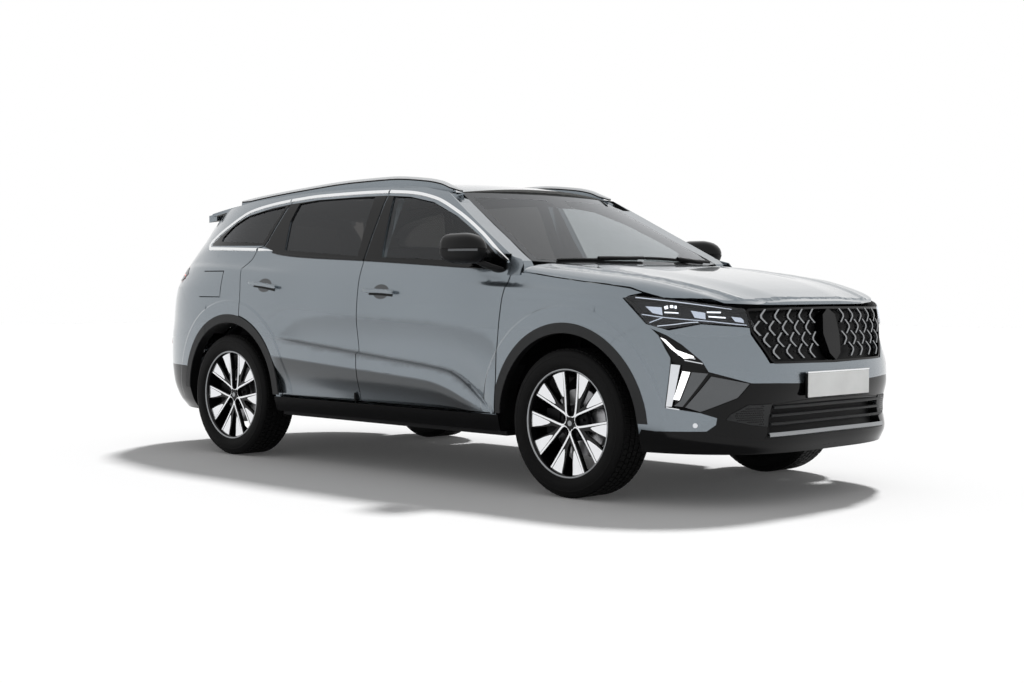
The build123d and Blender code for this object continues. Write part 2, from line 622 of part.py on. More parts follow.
RAIL_TOP = [(388, 1534), (310, 1562), (243, 1586), (115, 1608), (-170, 1628), (-470, 1624), (-1000, 1594),
            (-1400, 1561), (-1580, 1541)]
RAIL_Y, RAIL_W = 590, 26
rail = xz_prism(RAIL_TOP + [(-1640, 1400), (440, 1400)], RAIL_Y, RAIL_Y + RAIL_W) & block(-1585, 336, 500, 700, 1400, 1700)
rail -= roof_slab(SEAT_GAP, 300, 470, ROOF_BACK, ROOF_EDGE)
rail = max(rail.solids(), key=lambda s: s.volume)

ring = y_cylinder(REAR_X, TYRE_R, ARCH_R + CLADDING_W, 600, 1010) - y_cylinder(REAR_X, TYRE_R, ARCH_R, 590, 1020)
ring += y_cylinder(ARCH_X, TYRE_R, ARCH_R + CLADDING_W, 600, 1010) - y_cylinder(ARCH_X, TYRE_R, ARCH_R, 590, 1020)
proud = side_slab(CLADDING_PROUD, -PANEL_GAP, -PANEL_GAP) & block(-1561, 1570, 600, 1010, 252, 1100)
proud += end_slab(True, CLADDING_PROUD, -PANEL_GAP, ROWS[:9]) & block(1569, 2000, 600, 1010, 252, 1100)
proud += end_slab(False, CLADDING_PROUD, -PANEL_GAP, ROWS[:9]) & block(-2000, -1560, 600, 1010, 252, 1100)
cladding = (proud & ring & block(-2000, 2000, 600, 1010, 385, 1100)) - front_door_space - front_sweep_clear
SILL_LOW, SILL_TOP = 268, 374
sill = proud & block(REAR_X + ARCH_R + 12, ARCH_X - ARCH_R - 12, 600, 1010, 292, SILL_TOP)

MIRROR = [(735, 898), (900, 900), (930, 925), (925, 1030), (878, 1042), (748, 1022)]
with BuildPart() as mirror_head:
    with BuildSketch(Plane.XY.offset(1128)):
        with BuildLine():
            Polyline(*MIRROR, close=True)
        make_face()
    extrude(amount=158)
    fillet(mirror_head.edges(), 18)
mirror_head = mirror_head.part
mirror_arm = xz_prism([(860, 1080), (985, 1080), (990, 1112), (900, 1150), (850, 1150)], 800, 925)
mirror_arm -= side_slab(SEAT_GAP, 300, 300)
mirror_unit = mirror_arm + mirror_head

# ---- floor, engine bay and cabin ---------------------------------------------------------------------------------
FLOOR_Z, FLOOR_T = 266, 24
REAR_FLOOR_Z = 560
FIREWALL_X = 1090
TUNNEL_W, TUNNEL_H = 260, 90
KICK_X = -1075  # step up to the rear floor, behind the second row
floor_pan = block(REAR_X + ARCH_R + 12, ARCH_X - ARCH_R - 15, -835, 835, FLOOR_Z, FLOOR_Z + FLOOR_T - SEAT_GAP)
floor_pan += block(KICK_X, REAR_X + ARCH_R + 13, -WELL_IN, WELL_IN, FLOOR_Z, FLOOR_Z + FLOOR_T - SEAT_GAP)
floor_pan += block(KICK_X - 12, KICK_X, -WELL_IN, WELL_IN, FLOOR_Z, REAR_FLOOR_Z)
floor_pan += block(-2250, KICK_X, -WELL_IN, WELL_IN, REAR_FLOOR_Z, REAR_FLOOR_Z + 14)
for side in (-1, 1):
    y0, y1 = sorted((side * WELL_IN, side * (WELL_IN + 12)))
    well = y_cylinder(REAR_X, TYRE_R, ARCH_R + 12, y0, y1) & block(-2000, -600, y0, y1, FLOOR_Z, 900)
    floor_pan += well - block(-2000, KICK_X - 12, y0 - 1, y1 + 1, 0, REAR_FLOOR_Z)
    y0, y1 = sorted((side * (WELL_IN + 12), side * 730))
    arch = y_cylinder(REAR_X, TYRE_R, ARCH_R + 12, y0, y1) - y_cylinder(REAR_X, TYRE_R, ARCH_R, y0 - 1, y1 + 1)
    floor_pan += (arch & block(-2000, -600, y0, y1, FLOOR_Z, 900)) - block(-2000, REAR_X, y0 - 1, y1 + 1, 0, REAR_FLOOR_Z)
LINER_X = ARCH_X - ARCH_R - 20  # panel behind each front wheel
BAY_W = 440
floor_pan += block(LINER_X - 12, FIREWALL_X + 14, -BAY_W, BAY_W, FLOOR_Z, FLOOR_Z + FLOOR_T - SEAT_GAP)
floor_pan += block(FIREWALL_X, FIREWALL_X + 14, -BAY_W, BAY_W, FLOOR_Z, 1030)
for side in (-1, 1):
    y0, y1 = sorted((side * (BAY_W - 12), side * 726))
    floor_pan += block(LINER_X - 12, LINER_X, y0, y1, FLOOR_Z, 1004)
    y0, y1 = sorted((side * (BAY_W - 12), side * BAY_W))
    floor_pan += block(LINER_X - 12, FIREWALL_X + 14, y0, y1, FLOOR_Z, 1004)
    y0, y1 = sorted((side * 390, side * 430))
    floor_pan += block(FIREWALL_X, 2150, y0, y1, 420, 500)  # engine bay rails that run forward to the bumper
floor_pan += block(2110, 2150, -600, 600, 420, 500)
floor_pan -= end_slab(False, 40, END_T + GAP, ROWS[:9])
cowl = xz_prism([(1060, 1030 + SEAT_GAP), (1205, 1030 + SEAT_GAP), (1205, 1078), (1060, 1082)], -735, 735)

engine = block(1230, 1850, -390 + SEAT_GAP, 390 - SEAT_GAP, 330, 930)
radiator = block(1950, 2000, -390 + SEAT_GAP, 390 - SEAT_GAP, 330, 880)

DASH = [(660, 900), (620, 985), (700, 1060), (900, 1098), (1050, 1085), (1050, 1006), (930, 1006), (930, 700),
        (860, 640), (720, 700)]
dashboard = xz_prism(DASH, -735, 735)
dashboard += block(-60, 880, -108, 108, FLOOR_Z + FLOOR_T, 672) + block(560, 760, -150, 150, 600, 860)
COLUMN = Vector(520, 370, 930)
WHEEL_TILT = 24
STEER_R = 185


def seat(x, y, z, width, back_top, depth=500, recline=22):
    """A seat with its cushion, back and headrest, its cushion front at x."""
    lean = sin(recline * pi / 180)
    cushion = [(x, z + 20), (x - 10, z + 130), (x - depth, z + 95), (x - depth - 90, z - 10), (x - 60, z - 10)]
    foot = (x - depth - 20, z + 60)
    rise = back_top - foot[1]
    back = [foot, (foot[0] - 120, foot[1] - 20), (foot[0] - 130 - rise * lean, back_top - 10),
            (foot[0] - 55 - rise * lean, back_top + 8)]
    top = (foot[0] - 95 - rise * lean, back_top)
    head = [(top[0] + 45, top[1] - 30), (top[0] - 35, top[1] - 30), (top[0] - 60, top[1] + 165), (top[0] + 5, top[1] + 175)]
    piece = xz_prism(cushion, y - width / 2, y + width / 2) + xz_prism(back, y - width / 2, y + width / 2)
    return piece + xz_prism(head, y - 125, y + 125)


front_seats = [seat(430, y, 470, 510, 1060) + block(-60, 400, y - 160, y + 160, FLOOR_Z + FLOOR_T, 465) for y in (-370, 370)]
rear_seats = [seat(-420, y, 480, w, 1060, 470, 24) + block(-800, -480, y - 130, y + 130, FLOOR_Z + FLOOR_T, 475)
              for y, w in ((-430, 400), (0, 400), (430, 400))]
third_seats = [seat(-1290, y, 600, 380, 1030, 400, 20) + block(-1600, -1350, y - 100, y + 100, REAR_FLOOR_Z + 14 + SEAT_GAP, 596)
               for y in (-330, 330)]

# ---- axles, knuckles and wheels ----------------------------------------------------------------------------------
BALL = Vector(FRONT_X, 742, 222)  # lower ball joint, on the steering axis
TOWER = Vector(FRONT_X, 600, 872)  # top mount, on the steering axis
PIN_R = 12
RUNNING = 0.05  # radial clearance of a running fit
SPINDLE_R = 34
DISC_R = 165
steer_axis = (TOWER - BALL).normalized()


def rod(start, end, radius):
    """A round bar between two points."""
    run = end - start
    with BuildPart() as bar:
        with BuildSketch(Plane(origin=start, z_dir=run)):
            Circle(radius)
        extrude(amount=run.length)
    return bar.part


def knuckle():
    """The left upright with its spindle, caliper and strut."""
    piece = rod(Vector(FRONT_X, 694, 250), Vector(FRONT_X, 694, 480), 34)
    piece += rod(Vector(FRONT_X, 640, TYRE_R), Vector(FRONT_X, WHEEL_Y + 58, TYRE_R), SPINDLE_R)
    piece += rod(Vector(FRONT_X, 660, TYRE_R), Vector(FRONT_X, 715, TYRE_R), 70)
    piece += rod(Vector(FRONT_X, 650, 450), TOWER - steer_axis * 30, 26)
    piece += rod(Vector(FRONT_X, 610, 742), Vector(FRONT_X, 603, 830), 62)
    piece += rod(BALL + steer_axis * 15, BALL + steer_axis * 60, 26)
    piece += caliper(FRONT_X)
    piece -= rod(BALL - steer_axis * 10, BALL + steer_axis * 40, PIN_R + RUNNING)
    return piece + rod(TOWER - steer_axis * 31, TOWER + steer_axis * 36, PIN_R)


def caliper(x):
    """A brake caliper behind the spindle, straddling the disc."""
    piece = block(x - 195, x - 110, WHEEL_Y - 62, WHEEL_Y + 34, TYRE_R - 60, TYRE_R + 60)
    piece += block(x - 120, x, WHEEL_Y - 78, WHEEL_Y - 58, TYRE_R - 40, TYRE_R + 40)
    return piece - y_cylinder(x, TYRE_R, DISC_R + 6, WHEEL_Y - 26, WHEEL_Y + 14)


front_knuckle = knuckle()
front_frame = block(1290, 1560, -400, 400, 196, 262)
front_frame += block(1330, 1510, -520, 520, 205, 245) + block(1060, 1300, -300, 300, 236, FLOOR_Z - SEAT_GAP)
for side in (-1, 1):
    arm = rod(Vector(FRONT_X, side * 500, 215), Vector(FRONT_X, side * 722, 208), 20)
    arm += block(FRONT_X - 20, FRONT_X + 20, min(side * 705, side * 755), max(side * 705, side * 755), 196, 224)
    ball = Vector(BALL.X, side * BALL.Y, BALL.Z)
    axis = Vector(steer_axis.X, side * steer_axis.Y, steer_axis.Z)
    front_frame += arm + rod(ball - axis * 10, ball + axis * 38, PIN_R)
for side in (-1, 1):
    mount = Vector(TOWER.X, side * TOWER.Y, TOWER.Z)
    axis = Vector(steer_axis.X, side * steer_axis.Y, steer_axis.Z)
    tower = block(1320, 1520, min(side * 440, side * 700), max(side * 440, side * 700), 890, 910)
    tower += block(1320, 1520, min(side * 426, side * 446), max(side * 426, side * 446), 495, 910)
    tower -= rod(mount - axis * 60, mount + axis * 90, PIN_R + RUNNING)
    floor_pan += tower

rear_axle = block(REAR_X - 70, REAR_X + 70, -600, 600, 270, 360)
for side in (-1, 1):
    rear_axle += rod(Vector(REAR_X, side * 590, TYRE_R), Vector(REAR_X, side * (WHEEL_Y + 58), TYRE_R), SPINDLE_R)
    rear_axle += rod(Vector(REAR_X, side * 600, TYRE_R), Vector(REAR_X, side * 715, TYRE_R), 70)
    rear_axle += rod(Vector(REAR_X + 10, side * 560, 330), Vector(KICK_X - 12 - SEAT_GAP, side * 560, 330), 30)
    rear_axle += rod(Vector(REAR_X - 90, side * 540, 340), Vector(REAR_X - 90, side * 540, REAR_FLOOR_Z - SEAT_GAP), 45)
    rear_axle += block(REAR_X - 140, REAR_X - 40, min(side * 480, side * 600), max(side * 480, side * 600), 320, 350)
    piece = caliper(REAR_X)
    rear_axle += piece if side > 0 else mirror(piece, about=Plane.XZ)


def spun(points, x, y):
    """A ring round the wheel's axle from its section as radius and distance from the wheel's middle."""
    with BuildPart() as ring:
        with BuildSketch(Plane.YZ.offset(x)):
            with BuildLine():
                Polyline(*[(y + across, TYRE_R + radius) for radius, across in points], close=True)
            make_face()
        revolve(axis=Axis((x, 0, TYRE_R), (0, 1, 0)), revolution_arc=360)
    return ring.part


def tyre(x, y):
    half, bead = TYRE_W / 2, TYRE_W / 2 - 19
    seat_r = RIM_R - 25
    left = [(seat_r + SEAT_GAP, bead - SEAT_GAP), (RIM_R + 0.5, bead - SEAT_GAP), (RIM_R + 5, half - 8), (RIM_R + 28, half - 1),
            (RIM_R + 50, half), (TYRE_R - 20, half - 5), (TYRE_R - 7, half - 14), (TYRE_R, half - 30)]
    return spun(left + [(r, -a) for r, a in reversed(left)], x, y)


def rim(x, y, side):
    """A wheel of five pairs of spokes, its face to the left if side is 1."""
    bead = TYRE_W / 2 - 19
    barrel = spun([(RIM_R - 38, -bead - 8), (RIM_R, -bead - 8), (RIM_R, -bead), (RIM_R - 25, -bead), (RIM_R - 25, bead),
                   (RIM_R, bead), (RIM_R, bead + 8), (RIM_R - 30, bead + 6), (RIM_R - 38, bead - 20)], x, y)
    face = bead - 4
    hub = spun([(SPINDLE_R + RUNNING, side * 20), (78, side * 20), (78, side * (face - 14)), (66, side * (face - 6)),
                (SPINDLE_R + RUNNING, side * (face - 6))], x, y)
    hub += spun([(0, side * (face - 30)), (40, side * (face - 30)), (40, side * (face - 6)), (0, side * (face - 6))], x, y)
    spokes = []
    for k in range(5):
        for lean in (-1, 1):
            start, end = 90 + 72 * k + lean * 12, 90 + 72 * k + lean * 14.5
            a = [(x + 60 * cos((start + d) * pi / 180), TYRE_R + 60 * sin((start + d) * pi / 180)) for d in (-11, 11)]
            b = [(x + 232 * cos((end + d) * pi / 180), TYRE_R + 232 * sin((end + d) * pi / 180)) for d in (4.2, -4.2)]
            y0, y1 = sorted((y + side * (face - 32), y + side * (face - 8)))
            spokes.append(xz_prism(a + b, y0, y1))
    wheel = barrel + hub
    for spoke in spokes:
        wheel += spoke
    return wheel


def disc(x, y, side):
    """The brake disc, clamped to the wheel's hub."""
    return spun([(SPINDLE_R + RUNNING, side * -10), (SPINDLE_R + RUNNING, side * (20 - SEAT_GAP)),
                 (75, side * (20 - SEAT_GAP)), (75, side * 6), (DISC_R, side * 6), (DISC_R, side * -18), (60, side * -18),
                 (60, side * -10)], x, y)


# ---- steering wheel and fuel flap --------------------------------------------------------------------------------
tilt = WHEEL_TILT * pi / 180
column_dir = Vector(cos(tilt), 0, -sin(tilt))
with BuildPart() as wheel_flat:
    with BuildSketch(Plane.XZ):
        with Locations((STEER_R, 0)):
            RegularPolygon(15, 8)
    revolve(axis=Axis.Z)
    Cylinder(58, 40)
    for angle in (0, 90, 180):
        with BuildSketch(Plane(origin=(40 * cos(angle * pi / 180), 40 * sin(angle * pi / 180), 0),
                               z_dir=(cos(angle * pi / 180), sin(angle * pi / 180), 0))):
            Rectangle(14, 26)
        extrude(amount=STEER_R - 44)
    with BuildSketch(Plane.XY.offset(-90)):
        Circle(15)
    extrude(amount=90)
steering_wheel = Plane(origin=COLUMN, x_dir=(0, 1, 0), z_dir=column_dir * -1).location * wheel_flat.part
column_space = rod(COLUMN + column_dir * 30, COLUMN + column_dir * 110, 15 + RUNNING)
column_tube = rod(COLUMN + column_dir * 60, COLUMN + column_dir * 280, 34) - column_space
dashboard += column_tube

FLAP = [(-1700, 950), (-1420, 950), (-1420, 1100), (-1700, 1100)]
FLAP_T = 8
flap_outline = plain([(-1700, 950), (-1420, 950), (-1420, 1100), (-1700, 1100)])
FLAP_HINGE = (-1420, half_width(-1420, 950) - 4)
fuel_flap = side_slab(0, FLAP_T, FLAP_T) & side_prism(flap_outline)
flap_room = side_slab(20, 45, 45) & side_prism(grown(flap_outline, GAP))
flap_pin = rod(Vector(*FLAP_HINGE, 930), Vector(*FLAP_HINGE, 966), 1.8)
fuel_flap -= rod(Vector(*FLAP_HINGE, 940), Vector(*FLAP_HINGE, 970), 1.8 + RUNNING)

# ---- hinges ------------------------------------------------------------------------------------------------------
DOOR_PIN_R = 7
HOOD_LUG_Y = 700


def door_pin(x, radius, z0, z1):
    return rod(Vector(x, HINGE_Y, z0), Vector(x, HINGE_Y, z1), radius)


front_door -= door_pin(FRONT_HINGE_X, DOOR_PIN_R + RUNNING, 360, 430)
rear_door -= door_pin(REAR_HINGE_X, DOOR_PIN_R + RUNNING, 360, 430)
body_side += door_pin(FRONT_HINGE_X, DOOR_PIN_R, 350, 420) + door_pin(REAR_HINGE_X, DOOR_PIN_R, 350, 420)

for side in (-1, 1):
    y = side * HOOD_LUG_Y
    lug = block(HOOD_HINGE[0], HOOD_HINGE[0] + 90, y - 6, y + 6, HOOD_HINGE[1] - 10, HOOD_HINGE[1] + 14)
    lug += y_cylinder(*HOOD_HINGE, 10, y - 6, y + 6)
    hood += lug - y_cylinder(*HOOD_HINGE, 6 + RUNNING, y - 20, y + 20)
    for k in (-1, 1):
        cowl += block(HOOD_HINGE[0] - 10, HOOD_HINGE[0] + 10, y + k * 11 - 4.7, y + k * 11 + 4.7, 1060, HOOD_HINGE[1] + 9)
    cowl += y_cylinder(*HOOD_HINGE, 6, y - 12, y + 12)
    hood_lug_room = block(HOOD_HINGE[0] - 20, HOOD_HINGE[0] + 100, y - 18, y + 18, 1072, 1120)
    arm = xz_prism([(GATE_HINGE[0] + dx, GATE_HINGE[1] + dz) for dx, dz in
                    [(-9, 4), (-4, 9), (9, 9), (9, -9), (3, -70), (-98, -70), (-98, 0), (-84, 0), (-84, -54), (-13, -54)]],
                   side * 256 - 6, side * 256 + 6)
    tailgate += arm - y_cylinder(*GATE_HINGE, 6 + RUNNING, side * 256 - 10, side * 256 + 10)
    for k in (-1, 1):
        yy = side * 256 + k * 11
        roof_panel += block(GATE_HINGE[0] - 10, GATE_HINGE[0] + 10, yy - 4.7, yy + 4.7, GATE_HINGE[1] - 10, 1500)
    roof_panel += y_cylinder(*GATE_HINGE, 6, side * 256 - 12, side * 256 + 12)


def mirrored(piece):
    return mirror(piece, about=Plane.XZ)


# ---- number plate holder -----------------------------------------------------------------------------------------
PLATE_W, PLATE_H, PLATE_T = 520, 110, 12
PLATE_X, PLATE_Z = 2351, 550
PLATE_HOLE_R, PLATE_HOLES = 2.5, 300
with BuildPart() as plate_holder:
    with BuildSketch(Plane.YZ.offset(PLATE_X)):
        with Locations((0, PLATE_Z)):
            Rectangle(PLATE_W, PLATE_H)
        with Locations((-PLATE_HOLES / 2, PLATE_Z), (PLATE_HOLES / 2, PLATE_Z)):
            Circle(PLATE_HOLE_R, mode=Mode.SUBTRACT)
    extrude(amount=PLATE_T)
front_bumper += block(PLATE_X - 40, PLATE_X - SEAT_GAP, -90, 90, PLATE_Z - 40, PLATE_Z + 40)


right_side = mirrored(body_side) - mirrored(flap_room) + mirrored(flap_pin)
save(Compound(children=[*body_side.solids(), *right_side.solids()]), "body_sides")
save(floor_pan, "floor_pan")
save(roof_panel, "roof")
save(both_sides(fender), "front_fenders")
save(front_bumper, "front_bumper")
save(rear_bumper, "rear_bumper")
save(Compound(children=[*grille.solids(), *intake.solids()]), "grille")
save(windshield, "windshield")
save(both_sides(quarter_glass), "quarter_glasses")
save(both_sides(headlamp), "headlamps")
save(both_sides(tail_lamp), "tail_lamps")
save(both_sides(rail), "roof_rails")
save(both_sides(cladding), "arch_cladding")
save(both_sides(sill), "sills")
save(cowl, "cowl")
save(engine, "engine")
save(radiator, "radiator")
save(dashboard, "dashboard")
save(Compound(children=[s for seat_ in front_seats for s in seat_.solids()]), "front_seats")
save(Compound(children=[s for seat_ in rear_seats for s in seat_.solids()]), "rear_seats")
save(Compound(children=[s for seat_ in third_seats for s in seat_.solids()]), "third_row_seats")
save(front_frame, "front_subframe")
save(rear_axle, "rear_axle")
save(hood, "hood")
save(tailgate, "tailgate")
save(tailgate_glass, "tailgate_glass")
save(both_sides(gate_lamp), "tailgate_lamps")
save(plate_holder.part, "plate_holder")
save(mirrored(fuel_flap), "fuel_flap")
save(steering_wheel, "steering_wheel")
for side, name in ((1, "left"), (-1, "right")):
    for piece, node in ((front_door, "front_SIDE_door"), (front_glass, "front_SIDE_glass"), (rear_door, "rear_SIDE_door"),
                        (rear_glass, "rear_SIDE_glass"), (mirror_unit, "SIDE_mirror"), (front_knuckle, "SIDE_knuckle")):
        save(piece if side > 0 else mirrored(piece), node.replace("SIDE", name))
    for x, end in ((FRONT_X, "front"), (REAR_X, "rear")):
        y = side * WHEEL_Y
        save(rim(x, y, side), f"{end}_{name}_rim")
        save(tyre(x, y), f"{end}_{name}_tyre")
        save(disc(x, y, side), f"{end}_{name}_brake_disc")
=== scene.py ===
import json
from math import cos, pi, radians, sin

import bmesh
import bpy
import numpy as np
from mathutils import Matrix, Vector
from mathutils.bvhtree import BVHTree
from mathutils.geometry import delaunay_2d_cdt


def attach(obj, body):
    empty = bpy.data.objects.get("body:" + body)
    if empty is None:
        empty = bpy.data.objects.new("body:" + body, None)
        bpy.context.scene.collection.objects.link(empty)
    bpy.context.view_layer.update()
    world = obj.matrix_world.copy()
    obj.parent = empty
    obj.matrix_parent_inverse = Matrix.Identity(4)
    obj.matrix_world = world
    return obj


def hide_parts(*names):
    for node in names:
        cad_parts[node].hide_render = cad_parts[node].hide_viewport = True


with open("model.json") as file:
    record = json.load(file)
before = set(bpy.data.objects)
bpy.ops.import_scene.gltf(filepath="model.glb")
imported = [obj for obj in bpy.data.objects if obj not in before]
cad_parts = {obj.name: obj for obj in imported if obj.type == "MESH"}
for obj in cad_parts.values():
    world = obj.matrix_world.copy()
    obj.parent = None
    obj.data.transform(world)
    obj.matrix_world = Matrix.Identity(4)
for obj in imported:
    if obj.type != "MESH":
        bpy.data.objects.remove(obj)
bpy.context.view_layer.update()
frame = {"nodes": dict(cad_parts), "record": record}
nodes = frame["nodes"]
bodyOf = {node: body for body, names in frame["record"]["behaviour"]["bodies"].items() for node in names}
scene = bpy.context.scene
print("frame loaded,", len(nodes), "nodes")


# shader maths as plain expressions
class Wire:  # one socket of a node tree
    def __init__(self, shade, socket):
        self.shade, self.socket = shade, socket

    def math(self, operation, *others, flip=False, clamp=False):
        parts = [self, *others][::-1] if flip else [self, *others]
        return self.shade.node("Math", {"operation": operation, "use_clamp": clamp}, dict(enumerate(parts)))

    def __add__(self, other):
        return self.math("ADD", other)

    def __sub__(self, other):
        return self.math("SUBTRACT", other)

    def __rsub__(self, other):
        return self.math("SUBTRACT", other, flip=True)

    def __mul__(self, other):
        return self.math("MULTIPLY", other)

    def __pow__(self, other):
        return self.math("POWER", other)

    def __gt__(self, other):
        return self.math("GREATER_THAN", other)

    def __lt__(self, other):
        return self.math("LESS_THAN", other)

    __radd__ = __add__
    __rmul__ = __mul__

    def clamped(self):
        return self.math("ADD", 0, clamp=True)

    def between(self, low, high):  # 0 below low, 1 above high
        return self.shade.node("MapRange", {"interpolation_type": "SMOOTHSTEP"}, {0: self, 1: low, 2: high})


class Shade:  # a material and its node tree
    def __init__(self, name):
        self.material = bpy.data.materials.new(name)
        self.material.use_nodes = True
        self.tree = self.material.node_tree
        self.tree.nodes.clear()

    def node(self, kind, settings=None, inputs=None, out=0):
        made = self.tree.nodes.new("ShaderNode" + kind)
        for key, value in (settings or {}).items():
            setattr(made, key, value)
        for key, value in (inputs or {}).items():
            socket = made.inputs[key]
            if isinstance(value, Wire):
                self.tree.links.new(value.socket, socket)
            elif socket.type == "RGBA":
                socket.default_value = (*value, 1)[:4]
            else:
                socket.default_value = value
        return Wire(self, made.outputs[out])

    def place(self):
        return self.node("TexCoord", out=3)

    def noise(self, scale, detail=2.0, place=None):
        return self.node("TexNoise", inputs={"Vector": place or self.place(), "Scale": scale,
                                             "Detail": detail})

    def axis(self, k):
        return self.node("SeparateXYZ", inputs={0: self.place()}, out=k)

    def attribute(self, name):
        return self.node("Attribute", {"attribute_name": name}, out=2)

    def mix(self, factor, first, second):
        return self.node("Mix", {"data_type": "RGBA"}, {0: factor, 6: first, 7: second}, out=2)

    def bump(self, height, distance, strength=1.0):
        return self.node("Bump", inputs={"Height": height, "Distance": distance, "Strength": strength})

    def principled(self, **inputs):  # baseColor is the socket Base Color, and so on
        sockets = {}
        for key, value in inputs.items():
            word = key[0].upper() + "".join(" " + c if c.isupper() else c for c in key[1:])
            sockets[word.replace("Specular", "Specular IOR Level")] = value
        return self.node("BsdfPrincipled", inputs=sockets)

    def finish(self, surface):
        made = self.tree.nodes.new("ShaderNodeOutputMaterial")
        self.tree.links.new(surface.socket, made.inputs["Surface"])
        return self.material


# finishes
paint = {
    "deep": (0.145, 0.172, 0.195), "pale": (0.222, 0.256, 0.285),
    "fold": 0.10,  # the share of the deep tone that is left in the doors' painted shade
    "flakeScale": 900, "flakeShare": 0.7, "driftScale": 1.3, "driftShare": 0.5, "toneDrop": 0.1,
    "metallic": 0.88, "rough": 0.20, "roughVary": 0.08, "coatRough": 0.03,
    "peelScale": 220, "peelHigh": 0.00015, "peelShare": 0.12,
}


def makePaint(name, deep, pale):
    s = Shade(name)
    flake = s.noise(paint["flakeScale"], 1)
    drift = s.noise(paint["driftScale"], 1)
    tone = flake * paint["flakeShare"] + drift * paint["driftShare"] - paint["toneDrop"]
    colour = s.mix(tone.clamped(), deep, pale)
    # painted shade: the doors' paint is darkened toward the deep tone under their pressed lines, as a painted
    # dark reflection
    colour = s.mix(s.attribute("fold"), colour, tuple(c * paint["fold"] for c in deep))
    peel = s.bump(s.noise(paint["peelScale"], 1), paint["peelHigh"], paint["peelShare"])
    rough = paint["rough"] + flake * paint["roughVary"]
    return s.finish(s.principled(baseColor=colour, metallic=paint["metallic"], roughness=rough,
                                 coatWeight=1.0, coatRoughness=paint["coatRough"], normal=peel))


def makePlastic(name, colour, rough, grain=0.0, grainScale=1400, coat=0.0, specular=0.5):
    s = Shade(name)
    speck = s.noise(grainScale, 2)
    tone = s.mix(s.noise(6, 3), tuple(c * 0.82 for c in colour), tuple(c * 1.18 for c in colour))
    parts = dict(baseColor=tone, roughness=rough + (speck - 0.5) * 0.12, coatWeight=coat, coatRoughness=0.04,
                 specular=specular)
    if grain:
        parts["normal"] = s.bump(speck, grain, 0.5)
    return s.finish(s.principled(**parts))


glass = {
    "reflect": (0.95, 0.97, 1.0), "rough": 0.02, "body": 0.04, "dustScale": 3.0, "dustVary": 0.03,
    "headOn": 0.036, "grazing": 0.94, "power": 5,  # how much it mirrors, straight on and at a flat angle
}


def makeGlass(name, tint, hidden, frit=None):  # each pane is crossed twice, at its outer and its inner face
    s = Shade(name)
    dust = s.noise(glass["dustScale"], 3)
    gloss = s.node("BsdfGlossy", inputs={"Color": glass["reflect"], "Roughness": glass["rough"]})
    through = s.node("BsdfTransparent", inputs={"Color": tint})
    body = s.node("BsdfDiffuse", inputs={"Color": tuple(t * glass["body"] for t in tint)})
    cover = hidden + (dust - 0.5) * glass["dustVary"]
    if frit:  # the black border printed round a screen
        y, z = s.axis(1).math("ABSOLUTE"), s.axis(2)
        edge = y + (z - frit["foot"]) * frit["lean"] > frit["half"]
        sensor = (y < frit["sensor"]) * (z > frit["top"] - frit["drop"])
        cover = cover + edge + (z > frit["top"]) + (z < frit["low"]) + sensor
    pane = s.node("MixShader", inputs={0: cover.clamped(), 1: through, 2: body})
    outside = 1 - s.node("NewGeometry", out=6)
    flat = s.node("LayerWeight", inputs={"Blend": 0.5}, out=1) ** glass["power"]
    mirrored = (flat * glass["grazing"] + glass["headOn"]) * outside
    return s.finish(s.node("MixShader", inputs={0: mirrored.clamped(), 1: pane, 2: gloss}))


def makeMetal(name, colour, rough, brushed=0.0, coat=0.0):
    s = Shade(name)
    p = s.place()
    streak = s.noise(90, 3, s.node("VectorMath", {"operation": "MULTIPLY"}, {0: p, 1: (1, 9, 9)}))
    tone = s.mix(streak, tuple(c * 0.9 for c in colour), colour)
    parts = dict(baseColor=tone, metallic=1.0, roughness=rough + (streak - 0.5) * 0.1, coatWeight=coat)
    if brushed:
        parts["normal"] = s.bump(streak, brushed, 0.4)
    return s.finish(s.principled(**parts))


def makeGlow(name, colour, strength, base):
    s = Shade(name)
    rib = (s.axis(1) * 260).math("SINE") * 0.5 + 0.5
    colours = s.mix(rib * 0.25, colour, tuple(c * 0.8 for c in colour))
    return s.finish(s.principled(baseColor=base, roughness=0.12, emissionColor=colours,
                                 emissionStrength=strength, coatWeight=1.0))


